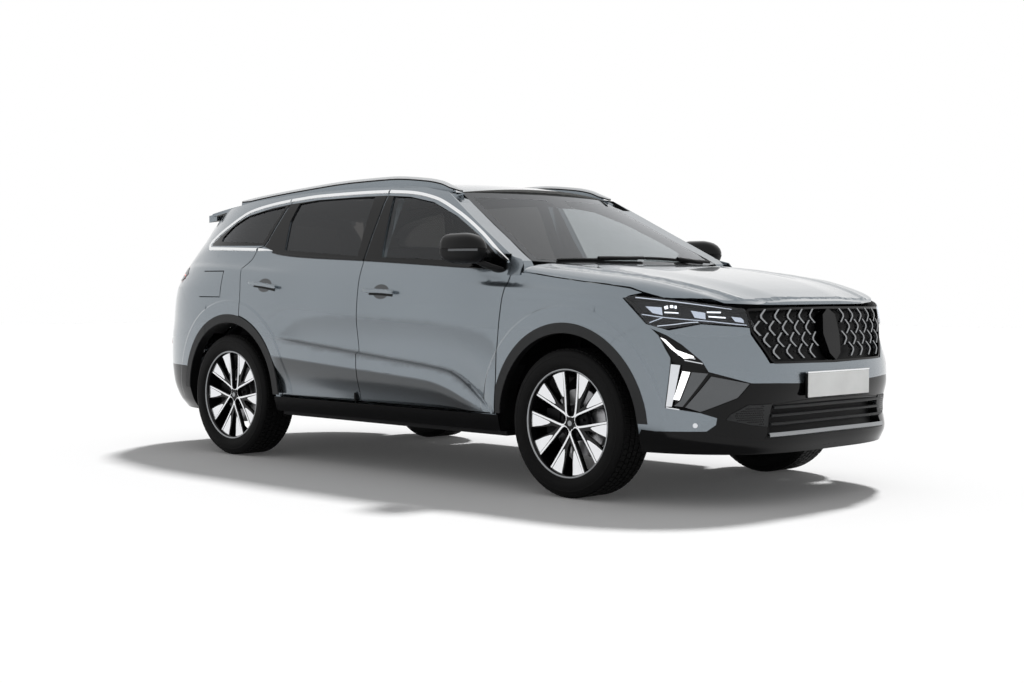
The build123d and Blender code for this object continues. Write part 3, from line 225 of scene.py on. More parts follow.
finish = {
    "body_paint": makePaint("bodyPaint", paint["deep"], paint["pale"]),
    "gloss_black": makePlastic("glossBlack", (0.002, 0.002, 0.0024), 0.08, specular=0.20),
    "black_plastic": makePlastic("mattBlack", (0.006, 0.006, 0.0065), 0.48, grain=0.0003, specular=0.15),
    "grey_plastic": makePlastic("claddingGrain", (0.030, 0.031, 0.032), 0.50, grain=0.0004, specular=0.2),
    "dark_steel": makePlastic("underbody", (0.008, 0.008, 0.009), 0.55, grain=0.0006, grainScale=300,
                              specular=0.15),
    "seat_cloth": makePlastic("seatCloth", (0.045, 0.045, 0.048), 0.85, grain=0.0008, grainScale=600,
                              specular=0.1),
    "engine_metal": makePlastic("engineCover", (0.030, 0.030, 0.032), 0.5, grain=0.0005, grainScale=200,
                                specular=0.3),
    "tyre_rubber": makePlastic("tyreRubber", (0.006, 0.006, 0.0062), 0.62, grain=0.0004, grainScale=500,
                               specular=0.1),
    "clear_glass": makeGlass("clearGlass", (0.66, 0.68, 0.68), 0.04),
    "screen_glass": makeGlass("screenGlass", (0.78, 0.80, 0.81), 0.03, {
        "foot": 1.145, "lean": 0.464, "half": 0.712, "top": 1.492, "low": 1.150, "sensor": 0.07,
        "drop": 0.045}),
    "dark_glass": makeGlass("privacyGlass", (0.30, 0.29, 0.28), 0.35),
    "radiator_metal": makeMetal("radiatorFins", (0.25, 0.26, 0.27), 0.5, 0.0004),
    "disc_iron": makeMetal("brakeDisc", (0.38, 0.38, 0.39), 0.32, 0.0003),
    "alloy": makeMetal("machinedAlloy", (0.82, 0.83, 0.85), 0.16, 0.00008, 1.0),
    "lamp_clear": makeGlass("lampCover", (0.95, 0.97, 1.0), 0.02),
    "lamp_red": makePlastic("lampRed", (0.28, 0.008, 0.010), 0.10, coat=1.0),
    "chrome": makeMetal("satinChrome", (0.86, 0.87, 0.88), 0.12, 0.0001, 0.5),
    "grey_metal": makeMetal("satinGrey", (0.30, 0.31, 0.32), 0.30, 0.0001),
    "pane_metal": makeMetal("sidePane", (0.115, 0.120, 0.125), 0.28, 0.0001),
    "sill_black": makePlastic("sillBlack", (0.0025, 0.0025, 0.003), 0.30, specular=0.08),
    "white_light": makeGlow("daylight", (1.0, 1.0, 1.0), 1.3, (0.8, 0.8, 0.8)),
    "lamp_silver": makeMetal("reflector", (0.72, 0.74, 0.77), 0.10, 0.0),
    "wheel_dark": makePlastic("wheelBlack", (0.004, 0.004, 0.0045), 0.16, specular=0.30),
    "satin_rail": makeMetal("satinRail", (0.60, 0.61, 0.62), 0.30, 0.0001),
    # a near-black copy of the body paint: painted shade for the recesses behind the door handles
    "bowl_shade": makePaint("handleBowl", tuple(c * 0.12 for c in paint["deep"]),
                            tuple(c * 0.16 for c in paint["pale"])),
    "headlining": makePlastic("headlining", (0.30, 0.30, 0.29), 0.85, grain=0.0006, grainScale=500,
                              specular=0.1),
    "tail_glow": makeGlow("tailLine", (1.0, 0.10, 0.07), 0.55, (0.5, 0.02, 0.02)),
    "plate_white": makePlastic("plateFace", (0.78, 0.79, 0.78), 0.30, coat=0.4),
}
print("finishes made:", len(finish))

# the body's skin as a field: how far a point lies outside it
skin = {
    "rows": [(0.250, 0.845, 2.330, -2.225), (0.310, 0.880, 2.345, -2.275), (0.420, 0.900, 2.318, -2.335),
             (0.560, 0.902, 2.345, -2.361), (0.680, 0.904, 2.333, -2.355), (0.800, 0.905, 2.305, -2.325),
             (0.910, 0.901, 2.285, -2.312), (0.985, 0.894, 2.222, -2.295), (1.060, 0.880, 2.140, -2.268),
             (1.130, 0.857, 2.080, -2.240), (1.250, 0.806, 2.080, -2.180), (1.400, 0.735, 2.080, -2.085),
             (1.500, 0.682, 2.080, -2.010), (1.575, 0.630, 2.080, -1.950)],
    "noseFrom": 1.400, "nosePower": 3.2, "tailPower": 3.4, "tailFrom": ((1.0, 1.3), (-1.3, -0.9)),
    "flattest": 0.15,
    "arches": [(1.413, 0.36), (-1.317, 0.36)],
    "crease": [(-1.0, 0.735), (-0.67, 0.707), (-0.3, 0.674), (0.1, 0.639), (0.45, 0.608), (0.60, 0.588),
               (0.68, 0.560), (0.75, 0.520), (0.84, 0.455), (0.93, 0.385)],
    "ledge": [(-1.0, 0.618), (-0.6, 0.593), (-0.2, 0.568), (0.2, 0.544), (0.45, 0.525), (0.60, 0.492),
              (0.72, 0.448), (0.85, 0.398), (0.95, 0.360)],
    "shoulder": [(0.60, 1.022), (0.803, 1.017), (0.968, 1.011), (1.319, 0.996), (1.600, 0.975),
                 (1.759, 0.957)],
    "haunch": [(-1.95, 1.135), (-1.60, 1.125), (-1.224, 1.109), (-0.94, 1.092), (-0.64, 1.071)],
    # where the painted reflection horizon lies on the doors; only their painted shade uses this line
    "swell": [(-0.870, 0.713), (-0.635, 0.827), (-0.287, 0.855), (-0.098, 0.853), (0.319, 0.843),
              (0.664, 0.813), (0.904, 0.758), (0.967, 0.700)],
    "cheek": [(0.45, 0.640), (0.60, 0.630), (0.735, 0.655), (0.80, 0.730), (0.86, 0.790)],
}


def smoothTable(points):  # a curve through the points that never overshoots
    xs, ys = np.array(points, float).T
    step, rise = np.diff(xs), np.diff(ys) / np.diff(xs)
    slope = np.concatenate([[rise[0]], np.zeros(len(rise) - 1), [rise[-1]]])
    same = rise[1:] * rise[:-1] > 0
    w1, w2 = 2 * step[1:] + step[:-1], step[1:] + 2 * step[:-1]
    with np.errstate(divide="ignore", invalid="ignore"):
        slope[1:-1] = np.where(same, (w1 + w2) / (w1 / rise[:-1] + w2 / rise[1:]), 0)

    def value(x):
        x = np.clip(x, xs[0], xs[-1])
        k = np.clip(np.searchsorted(xs, x) - 1, 0, len(step) - 1)
        t = (x - xs[k]) / step[k]
        return (ys[k] * (1 + 2 * t) * (1 - t) ** 2 + ys[k + 1] * t * t * (3 - 2 * t)
                + step[k] * t * (1 - t) * (slope[k] * (1 - t) - slope[k + 1] * t))

    return value


halfAt, noseAt, tailAt = (smoothTable([(r[0], r[k]) for r in skin["rows"]]) for k in (1, 2, 3))
lineNames = ("crease", "ledge", "shoulder", "haunch", "cheek", "swell")
creaseAt, ledgeAt, shoulderAt, haunchAt, cheekAt, paintedHorizonAt = (smoothTable(skin[k]) for k in lineNames)


def ease(x, low, high):  # 0 before low, 1 after high
    t = np.clip((x - low) / (high - low), 0, 1)
    return t * t * (3 - 2 * t)


def plainField(p):
    x, y, z = p[:, 0], p[:, 1], p[:, 2]

    def raw(x, y):
        tailFrom = np.interp(z, *skin["tailFrom"])
        ahead = np.clip((x - skin["noseFrom"]) / (noseAt(z) - skin["noseFrom"]), 0, None)
        behind = np.clip((x - tailFrom) / (tailAt(z) - tailFrom), 0, None)
        across = np.abs(y) / halfAt(z)
        power = np.where(x > 0, skin["nosePower"], skin["tailPower"])
        return (across ** power + ahead ** skin["nosePower"] + behind ** skin["tailPower"]) ** (1 / power) - 1

    h = 1e-4
    f = raw(x, y)
    gx, gy = (raw(x + h, y) - raw(x - h, y)) / (2 * h), (raw(x, y + h) - raw(x, y - h)) / (2 * h)
    return f / np.maximum(np.hypot(gx, gy), skin["flattest"])


def band(x, low, high, fade, end):  # 0 before low, 1 from high to fade, 0 after end
    return ease(x, low, high) * (1 - ease(x, fade, end))


press = {  # how deep or proud each shape is, and where it starts, is full, fades and ends
    "doorAlong": (-1.02, -0.62, 0.80, 0.95), "tuckAlong": (-1.02, -0.80, 0.86, 0.98), "doorOut": (0.80, 0.86),
    "hollow": 0.019, "hollowUp": (-0.014, -0.002, -0.012, 0.20), "creaseEdge": (-0.014, -0.002),
    "shelf": 0.006, "ledgeEdge": (-0.004, 0.004), "tuck": 0.034, "tuckDown": (0.0, 0.19), "lip": 0.004,
    "sideOut": (0.70, 0.82),
    "shoulder": {"along": (0.55, 1.05, 1.70, 1.90), "deep": 0.009, "up": (-0.003, 0.03, 0.05, 0.10),
                 "ridge": 0.002, "ridgeWide": 0.05},
    "haunch": {"along": (-1.98, -1.80, -1.05, -0.62), "deep": 0.010, "up": (-0.004, 0.035, 0.07, 0.13),
               "ridge": 0.003, "ridgeWide": 0.06},
    "cheek": {"deep": 0.017, "along": (1.90, 1.98), "across": (0.50, 0.62, 0.79, 0.855), "tall": 0.13,
              "top": (0.785, 0.845)},
    "arch": {"proud": 0.0055, "edge": (0.560, 0.575), "up": (0.30, 0.42)},
}


def bodyLine(x, rise, shape):  # a groove over a line along the side, and a low ridge on it
    ridge = shape["ridge"] * (1 - ease(np.abs(rise), 0, shape["ridgeWide"]))
    return band(x, *shape["along"]) * (ridge - shape["deep"] * band(rise, *shape["up"]))


def sculpt(p):  # how far the pressed shapes stand out of the plain skin
    x, y, z = p[:, 0], np.abs(p[:, 1]), p[:, 2]
    above, below = z - creaseAt(x), z - ledgeAt(x)
    shelf = press["shelf"] * (1 - ease(above, *press["creaseEdge"])) * ease(below, *press["ledgeEdge"])
    tuck = press["lip"] - press["tuck"] * ease(-below, *press["tuckDown"])
    out = (shelf - press["hollow"] * band(above, *press["hollowUp"])) * band(x, *press["doorAlong"])
    out += tuck * (1 - ease(below, *press["ledgeEdge"])) * band(x, *press["tuckAlong"])
    out *= ease(y, *press["doorOut"])
    side = ease(y, *press["sideOut"])
    out += side * bodyLine(x, z - shoulderAt(x), press["shoulder"])
    out += side * bodyLine(x, z - haunchAt(x), press["haunch"])
    cheek, foot = press["cheek"], cheekAt(y)
    cheekUp = ease(z, foot, foot + cheek["tall"]) * (1 - ease(z, *cheek["top"]))
    out -= cheek["deep"] * ease(x, *cheek["along"]) * band(y, *cheek["across"]) * cheekUp
    arch = press["arch"]
    for cx, cz in skin["arches"]:
        inside = 1 - ease(np.hypot(x - cx, z - cz), *arch["edge"])
        out += arch["proud"] * inside * ease(z, *arch["up"]) * side
    return out


def skinField(p):
    return plainField(p) - sculpt(p)


fold = {  # how dark the painted shade of the doors is, and where it lies: a painted dark reflection under the crease and the ledge, and a painted darker band under the reflection horizon
    "along": (-0.98, -0.80, 0.72, 0.92),
    "crease": 0.75, "creaseDown": (-0.004, 0.004, 0.010, 0.034), "creaseFrom": (-0.95, -0.60),
    "ledge": 0.9, "ledgeEdge": (-0.004, 0.008), "ledgeFade": 0.75, "ledgeDown": (0.05, 0.19),
    "swell": 0.26, "swellDown": (-0.008, 0.012, 0.02, 0.17), "swellEdge": (0, 0.02),
    "swellAlong": (-0.90, -0.80, 0.93, 0.99),
}


def paintedShadeAt(p):  # 1 in the painted shade under the pressed lines of the doors and under their painted reflection horizon, 0 elsewhere
    x, z = p[:, 0], p[:, 2]
    above, below = z - creaseAt(x), ledgeAt(x) - z
    line = fold["crease"] * band(-above, *fold["creaseDown"]) * ease(x, *fold["creaseFrom"])
    fade = 1 - fold["ledgeFade"] * ease(below, *fold["ledgeDown"])
    under = fold["ledge"] * ease(below, *fold["ledgeEdge"]) * fade
    swell = fold["swell"] * band(paintedHorizonAt(x) - z, *fold["swellDown"]) * ease(above, *fold["swellEdge"])
    lineShade = np.clip(line + under, 0, 1) * band(x, *fold["along"])
    return np.clip(lineShade + swell * band(x, *fold["swellAlong"]), 0, 1)


def slopeOf(field, p, step=8e-4):
    return np.stack([(field(p + e) - field(p - e)) / (2 * step) for e in np.eye(3) * step], 1)


def unit(v):
    return v / np.linalg.norm(v, axis=1)[:, None]


def settle(field, p, axes=(1, 1, 0), rounds=5):  # moves points onto the surface along the allowed axes
    p = p.copy()
    for _ in range(rounds):
        g = slopeOf(field, p) * axes
        p -= g * (field(p) / np.maximum((g * g).sum(1), 0.02))[:, None]
    return p


# painted panels: the CAD shapes, cut into a fine net and pressed to the sculpted skin
panels = {
    "spacing": {"front_bumper": 0.014}, "netSize": 0.030,
    "flareRings": (0.556, 0.5605, 0.565, 0.5695, 0.5745, 0.580),
    "nodes": ["front_left_door", "front_right_door", "rear_left_door", "rear_right_door", "front_fenders",
              "body_sides", "front_bumper", "rear_bumper", "tailgate", "fuel_flap"],
    "near": 0.012, "facing": 0.6, "farthest": 0.05,  # what is an outer face, and how far it may move
    "darkBelow": 0.42, "darkArch": 0.56,
    "trimmed": ["front_left_door", "front_right_door", "rear_left_door", "rear_right_door", "body_sides",
                "tailgate"],
    "finishes": ["body_paint", "black_plastic", "gloss_black", "grey_metal"],
}


def addPiece(name, mesh, materials, body, replaced=()):
    piece = bpy.data.objects.new(name, mesh)
    scene.collection.objects.link(piece)
    for material in materials:
        mesh.materials.append(finish[material])
    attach(piece, body)
    if replaced:
        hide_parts(*replaced)
    return piece


def mergedCopy(node):
    bm = bmesh.new()
    bm.from_mesh(nodes[node].data)
    bmesh.ops.remove_doubles(bm, verts=bm.verts, dist=3e-6)
    bmesh.ops.dissolve_degenerate(bm, edges=bm.edges, dist=1e-6)
    return bm


def asMesh(bm, name):
    mesh = bpy.data.meshes.new(name)
    bm.to_mesh(mesh)
    bm.free()
    return mesh


def shadeSmooth(mesh, angle=None):  # corners sharper than the angle stay sharp
    mesh.polygons.foreach_set("use_smooth", np.ones(len(mesh.polygons), bool))
    if angle:
        mesh.set_sharp_from_angle(angle=radians(angle))


def vectorsOf(items, word):  # one vector for each item, as an array
    flat = np.empty(len(items) * 3, np.float32)
    items.foreach_get(word, flat)
    return flat.reshape(-1, 3).astype(float)


def wholesOf(items, word):
    flat = np.empty(len(items), np.int32)
    items.foreach_get(word, flat)
    return flat


def touching(faces):  # the faces with their corners and edges
    return list({v for f in faces for v in f.verts}) + list({e for f in faces for e in f.edges}) + faces


def lineWarp(lineAt):  # makes a pressed line level, so that level cuts follow it
    def moved(p, sign):
        return np.stack([p[:, 0], p[:, 1], p[:, 2] + sign * lineAt(p[:, 0])], 1)

    return lambda p: moved(p, -1), lambda p: moved(p, 1)


def archWarp(cx, cz):  # makes rings round a wheel level
    def forward(p):
        return np.stack([np.arctan2(p[:, 0] - cx, p[:, 2] - cz), p[:, 1],
                         np.hypot(p[:, 0] - cx, p[:, 2] - cz)], 1)

    def back(p):
        return np.stack([cx + p[:, 2] * np.sin(p[:, 0]), p[:, 1], cz + p[:, 2] * np.cos(p[:, 0])], 1)

    return forward, back


def flatten(points, azimuth):  # places seen along a level direction, as across and up
    a = radians(azimuth)
    return [(-sin(a) * p[0] + cos(a) * p[1], p[2]) for p in points]


def insideRings(points, rings):
    odd = np.zeros(len(points), bool)
    x, y = points[:, 0], points[:, 1]
    for ring in rings:
        r = np.array(ring)
        for (x0, y0), (x1, y1) in zip(r, np.roll(r, -1, 0)):
            if y0 != y1:
                odd ^= ((y0 > y) != (y1 > y)) & (x < (x1 - x0) * (y - y0) / (y1 - y0) + x0)
    return odd


def stencil(bm, outline, azimuth, flip, mark):  # cuts an outline into the skin and marks its inside
    a = radians(azimuth)
    side = -1 if flip else 1
    along, across = Vector((cos(a), side * sin(a), 0)), Vector((-sin(a), side * cos(a), 0))
    up = Vector((0, 0, 1))
    ring = flatten(outline, azimuth)

    def meets(face, low, high):
        u, v = [across.dot(w.co) for w in face.verts], [w.co.z for w in face.verts]
        return max(u) > low[0] and min(u) < high[0] and max(v) > low[1] and min(v) < high[1]

    def span(points):
        columns = list(zip(*points))
        return [min(c) - 1e-4 for c in columns], [max(c) + 1e-4 for c in columns]

    low, high = span(ring)
    faces = [f for f in bm.faces if f.material_index not in (0, 2) and f.normal.dot(along) > 0.08
             and f.calc_center_median().y * side > -0.02 and meets(f, low, high)]
    for p, q in zip(ring, ring[1:] + ring[:1]):
        low, high = span((p, q))
        near = [f for f in faces if meets(f, low, high)]
        if not near:
            continue
        rest = set(faces) - set(near)
        made = bmesh.ops.bisect_plane(bm, geom=touching(near), dist=2e-6, plane_co=across * p[0] + up * p[1],
                                      plane_no=across * (p[1] - q[1]) + up * (q[0] - p[0]))
        faces = list(rest) + [g for g in made["geom"] if isinstance(g, bmesh.types.BMFace)]
    centres = np.array([(across.dot(c), c.z) for c in (f.calc_center_median() for f in faces)])
    for face, hit in zip(faces, insideRings(centres, [ring])):
        if hit and face.calc_center_median().y * side > 0:
            face.material_index = mark


def pressed(node, field, plain, axes, netAxes, warps, stencils=(), spacing=panels["netSize"]):
    bm = mergedCopy(node)
    centres = np.array([f.calc_center_median() for f in bm.faces])
    normals = np.array([f.normal for f in bm.faces])
    facing = (unit(slopeOf(plain, centres)) * normals).sum(1)
    outer = (np.abs(plain(centres)) < panels["near"]) & (facing > panels["facing"])
    for face, isOuter, isInner in zip(bm.faces, outer, facing < -panels["facing"]):
        face.material_index = 1 if isOuter else 2 if isInner else 0

    def cut(axis, value):
        faces = [f for f in bm.faces if f.material_index == 1]
        spans = [[v.co[axis] for v in f.verts] for f in faces]
        near = [f for f, span in zip(faces, spans) if min(span) < value < max(span)]
        place, turn = Vector(), Vector()
        place[axis], turn[axis] = value, 1
        if near:
            bmesh.ops.bisect_plane(bm, geom=touching(near), dist=2e-6, plane_co=place, plane_no=turn)

    def warp(way):
        moved = way(np.array([v.co for v in bm.verts], float))
        for v, place in zip(bm.verts, moved.tolist()):
            v.co = place

    low, high = centres[outer].min(0), centres[outer].max(0)
    for axis in netAxes:
        count = int((high[axis] - low[axis]) / spacing)
        for k in range(1, count):
            cut(axis, low[axis] + (high[axis] - low[axis]) * k / count)
    for (forward, back), offsets in warps:
        warp(forward)
        for offset in offsets:
            cut(2, offset)
        warp(back)
    for outline, azimuth, mark in stencils:
        for flip in (False, True):
            stencil(bm, outline, azimuth, flip, mark)
    bmesh.ops.delete(bm, geom=[f for f in bm.faces if f.material_index == 3], context="FACES")
    bmesh.ops.triangulate(bm, faces=[f for f in bm.faces if len(f.verts) > 3])
    mesh = asMesh(bm, node + "Panel")
    co = vectorsOf(mesh.vertices, "co")
    tri = wholesOf(mesh.loops, "vertex_index").reshape(-1, 3)
    kind = wholesOf(mesh.polygons, "material_index")  # 0 edge, 1 outer, 2 inner, 4 and 5 marked
    shown = (kind == 1) | (kind > 3)
    onSkin = np.unique(tri[shown])
    moved = settle(field, co[onSkin], axes)
    far = np.linalg.norm(moved - co[onSkin], axis=1)
    co[onSkin] = np.where(far[:, None] < panels["farthest"], moved, co[onSkin])
    mesh.vertices.foreach_set("co", co.ravel().astype(np.float32))
    flat = np.cross(co[tri[:, 1]] - co[tri[:, 0]], co[tri[:, 2]] - co[tri[:, 0]])
    flat /= np.maximum(np.linalg.norm(flat, axis=1), 1e-12)[:, None]
    smooth = np.zeros_like(co)
    smooth[onSkin] = unit(slopeOf(field, co[onSkin]))
    loopNormals = np.repeat(flat, 3, axis=0)
    skinLoops = np.repeat(shown, 3)
    loopNormals[skinLoops] = smooth[tri.ravel()[skinLoops]]
    shadeSmooth(mesh)
    mesh.normals_split_custom_set(loopNormals.tolist())
    # the doors carry their painted shade as a point attribute, which darkens their paint
    if "door" in node:
        shade = mesh.attributes.new("fold", "FLOAT", "POINT")
        shade.data.foreach_set("value", paintedShadeAt(co).astype(np.float32))
    middle = co[tri].mean(1)
    hidden = (kind == 0) & (middle[:, 2] < panels["darkBelow"])
    for cx, cz in skin["arches"]:
        hidden |= (kind == 0) & (np.hypot(middle[:, 0] - cx, middle[:, 2] - cz) < panels["darkArch"])
    dark = hidden | ((kind == 2) & (node in panels["trimmed"]))
    mesh.polygons.foreach_set("material_index", np.where(kind > 3, kind - 2, np.where(dark, 1, 0)))
    return mesh


cuts = {
    "crease": (lineWarp(creaseAt), (-0.016, -0.011, -0.006, 0.0, 0.010)),
    "ledge": (lineWarp(ledgeAt), (-0.010, -0.0035, 0.0035, 0.010)),
    "shoulder": (lineWarp(shoulderAt), (-0.003, 0.006, 0.016)),
    "haunch": (lineWarp(haunchAt), (-0.003, 0.006, 0.018)),
    "frontFlare": (archWarp(*skin["arches"][0]), panels["flareRings"]),
    "rearFlare": (archWarp(*skin["arches"][1]), panels["flareRings"]),
}
nose = {  # outlines on the left half of the nose
    "azimuth": 40,
    "signature": [(1.909, 0.856, 0.827), (1.945, 0.845, 0.795), (1.976, 0.836, 0.736), (2.002, 0.828, 0.694),
                  (2.001, 0.828, 0.669), (1.976, 0.834, 0.464), (2.040, 0.803, 0.456), (2.115, 0.749, 0.443),
                  (2.235, 0.624, 0.509), (2.270, 0.572, 0.579), (2.221, 0.655, 0.604), (2.149, 0.735, 0.632),
                  (2.125, 0.752, 0.679), (2.045, 0.800, 0.755), (1.981, 0.830, 0.796)],
    "lowerBlack": [(2.270, 0.572, 0.579), (2.317, 0.428, 0.576), (2.341, 0.237, 0.569),
                   (2.345, -0.010, 0.568), (2.345, -0.010, 0.240), (1.790, 0.860, 0.240),
                   (1.863, 0.862, 0.360), (1.930, 0.844, 0.355), (2.138, 0.731, 0.360), (2.166, 0.699, 0.390),
                   (2.168, 0.694, 0.420), (2.115, 0.749, 0.443), (2.235, 0.624, 0.509)],
}
tail = {  # the black lower part of the rear bumper, on its left half
    "azimuth": 140,
    "side": [(-1.640, 0.900, 0.240), (-1.640, 0.900, 0.500), (-1.800, 0.880, 0.520), (-2.100, 0.800, 0.520),
             (-2.300, 0.500, 0.512), (-2.350, -0.010, 0.505), (-2.350, -0.010, 0.240)],
}
fender = {  # the black lower rear corner of the front fender
    "azimuth": 90,
    "foot": [(0.880, 0.0, 0.200), (1.120, 0.0, 0.200), (1.120, 0.0, 0.520), (0.960, 0.0, 0.500),
             (0.880, 0.0, 0.300)],
}
marks = {"open": 3, "black": 4}
stencils = {
    "front_bumper": [(nose["signature"], nose["azimuth"], marks["open"]),
                     (nose["lowerBlack"], nose["azimuth"], marks["black"])],
    "rear_bumper": [(tail["side"], tail["azimuth"], marks["black"])],
    "front_fenders": [(fender["foot"], fender["azimuth"], marks["black"])],
}
for node in panels["nodes"]:
    words = []
    if node.startswith("front"):
        words += ["frontFlare"] + ([] if "bumper" in node else ["shoulder"])
    if node.startswith("rear") or node == "body_sides":
        words += ["rearFlare"] + ([] if "bumper" in node else ["haunch"])
    words += ["crease", "ledge"] if "door" in node else []
    netAxes = (0, 1, 2) if "bumper" in node or node == "tailgate" else (0, 2)
    mesh = pressed(node, skinField, plainField, (1, 1, 0), netAxes, [cuts[word] for word in words],
                   stencils.get(node, ()), panels["spacing"].get(node, panels["netSize"]))
    addPiece(node + "Panel", mesh, panels["finishes"], bodyOf[node], [node])
    print("panel", node, len(mesh.polygons))


# pieces that lie on the skin
def skinPoint(u, v, azimuth, lift=0.0, field=skinField, deepest=3.2, rounds=26):
    # seen along a level direction, the first meeting with the skin, found by halving
    a = radians(azimuth)
    along, across = np.array([cos(a), sin(a), 0]), np.array([-sin(a), cos(a), 0])
    u, v = np.asarray(u, float), np.asarray(v, float)
    base = u[:, None] * across + v[:, None] * np.array([0, 0, 1.0])
    near, far = np.zeros(len(u)), np.full(len(u), deepest)
    for _ in range(rounds):
        mid = (near + far) / 2
        inside = field(base + mid[:, None] * along) < 0
        near, far = np.where(inside, mid, near), np.where(inside, far, mid)
    p = base + near[:, None] * along
    return p + unit(slopeOf(field, p)) * (np.asarray(lift)[:, None] if np.ndim(lift) else lift)


def rounded(ring, radius, steps=4):  # a closed outline with its corners rounded
    out = []
    for k, corner in enumerate(ring):
        before, after = Vector(ring[k - 1]), Vector(ring[(k + 1) % len(ring)])
        corner = Vector(corner)
        a, b = before - corner, after - corner
        reach = min(radius, a.length * 0.45, b.length * 0.45)
        start, end = corner + a.normalized() * reach, corner + b.normalized() * reach
        for s in range(steps + 1):
            t = s / steps
            out.append(tuple(start * (1 - t) ** 2 + corner * 2 * t * (1 - t) + end * t * t))
    return out


def patchData(rings, mapper, lift, sink, spacing=0.03):  # flat outlines laid on a surface, and thickened
    points, edges = [], []
    for ring in rings:
        first = len(points)
        for (x0, y0), (x1, y1) in zip(ring, list(ring[1:]) + [ring[0]]):
            parts = max(1, int(np.hypot(x1 - x0, y1 - y0) / spacing + 0.5))
            points += [(x0 + (x1 - x0) * k / parts, y0 + (y1 - y0) * k / parts) for k in range(parts)]
        edges += [(k, k + 1) for k in range(first, len(points) - 1)] + [(len(points) - 1, first)]
    rim = np.array(points)
    low, high = rim.min(0), rim.max(0)
    grid = np.array([(x, y) for x in np.arange(low[0] + spacing / 2, high[0], spacing)
                     for y in np.arange(low[1] + spacing / 2, high[1], spacing)]).reshape(-1, 2)
    if len(grid):
        clear = np.array([np.min(np.hypot(*(rim - g).T)) > spacing * 0.45 for g in grid])
        grid = grid[clear & insideRings(grid, rings)]
    flat = [Vector(p) for p in points + [tuple(g) for g in grid]]
    made, _, faces = delaunay_2d_cdt(flat, edges, [], 0, 1e-6)[:3]
    made = np.array([tuple(v) for v in made])
    faces = np.array([f for f in faces if len(f) == 3])
    faces = faces[insideRings(made[faces].mean(1), rings)]
    top, bottom = mapper(made[:, 0], made[:, 1], lift), mapper(made[:, 0], made[:, 1], sink)
    count = len(made)
    once = {}
    for f in faces.tolist():
        for a, b in zip(f, f[1:] + f[:1]):
            if (b, a) in once:
                del once[(b, a)]
            else:
                once[(a, b)] = True
    walls = [(b, a, a + count, b + count) for a, b in once]
    front = [tuple(f) for f in faces.tolist()]
    return np.concatenate([top, bottom]), front + walls + [tuple(k + count for k in f[::-1]) for f in front]


def joined(parts, flip=False):  # several (points, faces) as one; flip mirrors them to the other side
    points, faces, first = [], [], 0
    for p, f in parts:
        p = np.array(p, float)
        points.append(p * (1, -1, 1) if flip else p)
        faces += [tuple(k + first for k in (face[::-1] if flip else face)) for face in f]
        first += len(p)
    return np.concatenate(points), faces


def meshFrom(name, data, angle=35):
    points, faces = data
    mesh = bpy.data.meshes.new(name)
    mesh.from_pydata([tuple(p) for p in points], [], faces)
    mesh.validate()
    bm = bmesh.new()
    bm.from_mesh(mesh)
    bmesh.ops.remove_doubles(bm, verts=bm.verts, dist=1e-6)
    bmesh.ops.delete(bm, geom=[v for v in bm.verts if not v.link_faces], context="VERTS")
    bm.to_mesh(mesh)
    bm.free()
    shadeSmooth(mesh, angle)
    return mesh


def onSkin(azimuth, field=skinField):
    return lambda u, v, lift: skinPoint(u, v, azimuth, lift, field)


def skinPatch(outline, azimuth, lift, sink, holes=(), spacing=0.03, corner=0.0, field=skinField):
    rings = [flatten(ring, azimuth) for ring in (outline, *holes)]
    if corner:
        rings = [rounded(ring, corner) for ring in rings]
    return patchData(rings, onSkin(azimuth, field), lift, sink, spacing)


def evenSteps(points, spacing):  # the length along a line at each point, and at even steps
    along = np.concatenate([[0], np.cumsum(np.linalg.norm(np.diff(points, axis=0), axis=1))])
    return along, np.linspace(0, along[-1], max(2, int(along[-1] / spacing) + 1))


def smoothPath(points, spacing):  # a smooth line through 2-D points, evenly divided
    p = np.array(points, float)
    along, t = evenSteps(p, spacing)
    return np.stack([smoothTable(list(zip(along, column)))(t) for column in p.T], 1), t / along[-1]


def sideways(path):  # the level way to the left of a 2-D line
    run = unit(np.gradient(path, axis=0))
    return np.stack([-run[:, 1], run[:, 0]], 1)


def ribbon(points, width, height, azimuth, spacing=0.02, taper=None, field=plainField, side=0.0):
    path, share = smoothPath(flatten(points, azimuth), spacing)
    normal = sideways(path)
    wide = width * (np.interp(share, *taper) if taper else np.ones(len(share)))
    shape = [(-0.5, -0.006), (-0.5, height * 0.5), (-0.42, height * 0.9), (0, height * 1.15),
             (0.42, height * 0.9), (0.5, height * 0.5), (0.5, -0.006)]
    points, n = [], len(shape)
    for f, lift in shape:
        q = path + normal * (wide * (f + side))[:, None]
        points.append(skinPoint(q[:, 0], q[:, 1], azimuth, lift, field))
    grid = np.stack(points, 1).reshape(-1, 3)
    faces = []
    for k in range(len(path) - 1):
        for j in range(n):
            a, b = k * n + j, k * n + (j + 1) % n
            faces.append((a, b, b + n, a + n))
    last = (len(path) - 1) * n
    faces += [tuple(range(n))[::-1], tuple(last + j for j in range(n))]
    return grid, faces


def outward(mesh):
    bm = bmesh.new()
    bm.from_mesh(mesh)
    bmesh.ops.recalc_face_normals(bm, faces=bm.faces)
    bm.to_mesh(mesh)
    bm.free()
    return mesh


def xz(points):
    return [(x, 0.0, z) for x, z in points]


def leftRight(name, parts, material, bodies="body", replaced=((), ())):  # on both sides alike
    if isinstance(bodies, str):
        mesh = outward(meshFrom(name, joined([joined(parts), joined(parts, True)])))
        addPiece(name, mesh, [material], bodies, replaced[0])
        return
    for word, body, gone in zip(("Left", "Right"), bodies, replaced):
        mesh = outward(meshFrom(name + word, joined(parts, word == "Right")))
        addPiece(name + word, mesh, [material], body, gone)


def onePiece(name, parts, material, body="body", replaced=()):
    addPiece(name, outward(meshFrom(name, joined(parts))), [material], body, replaced)


def doors(end):
    return f"{end}_left_door_body", f"{end}_right_door_body"


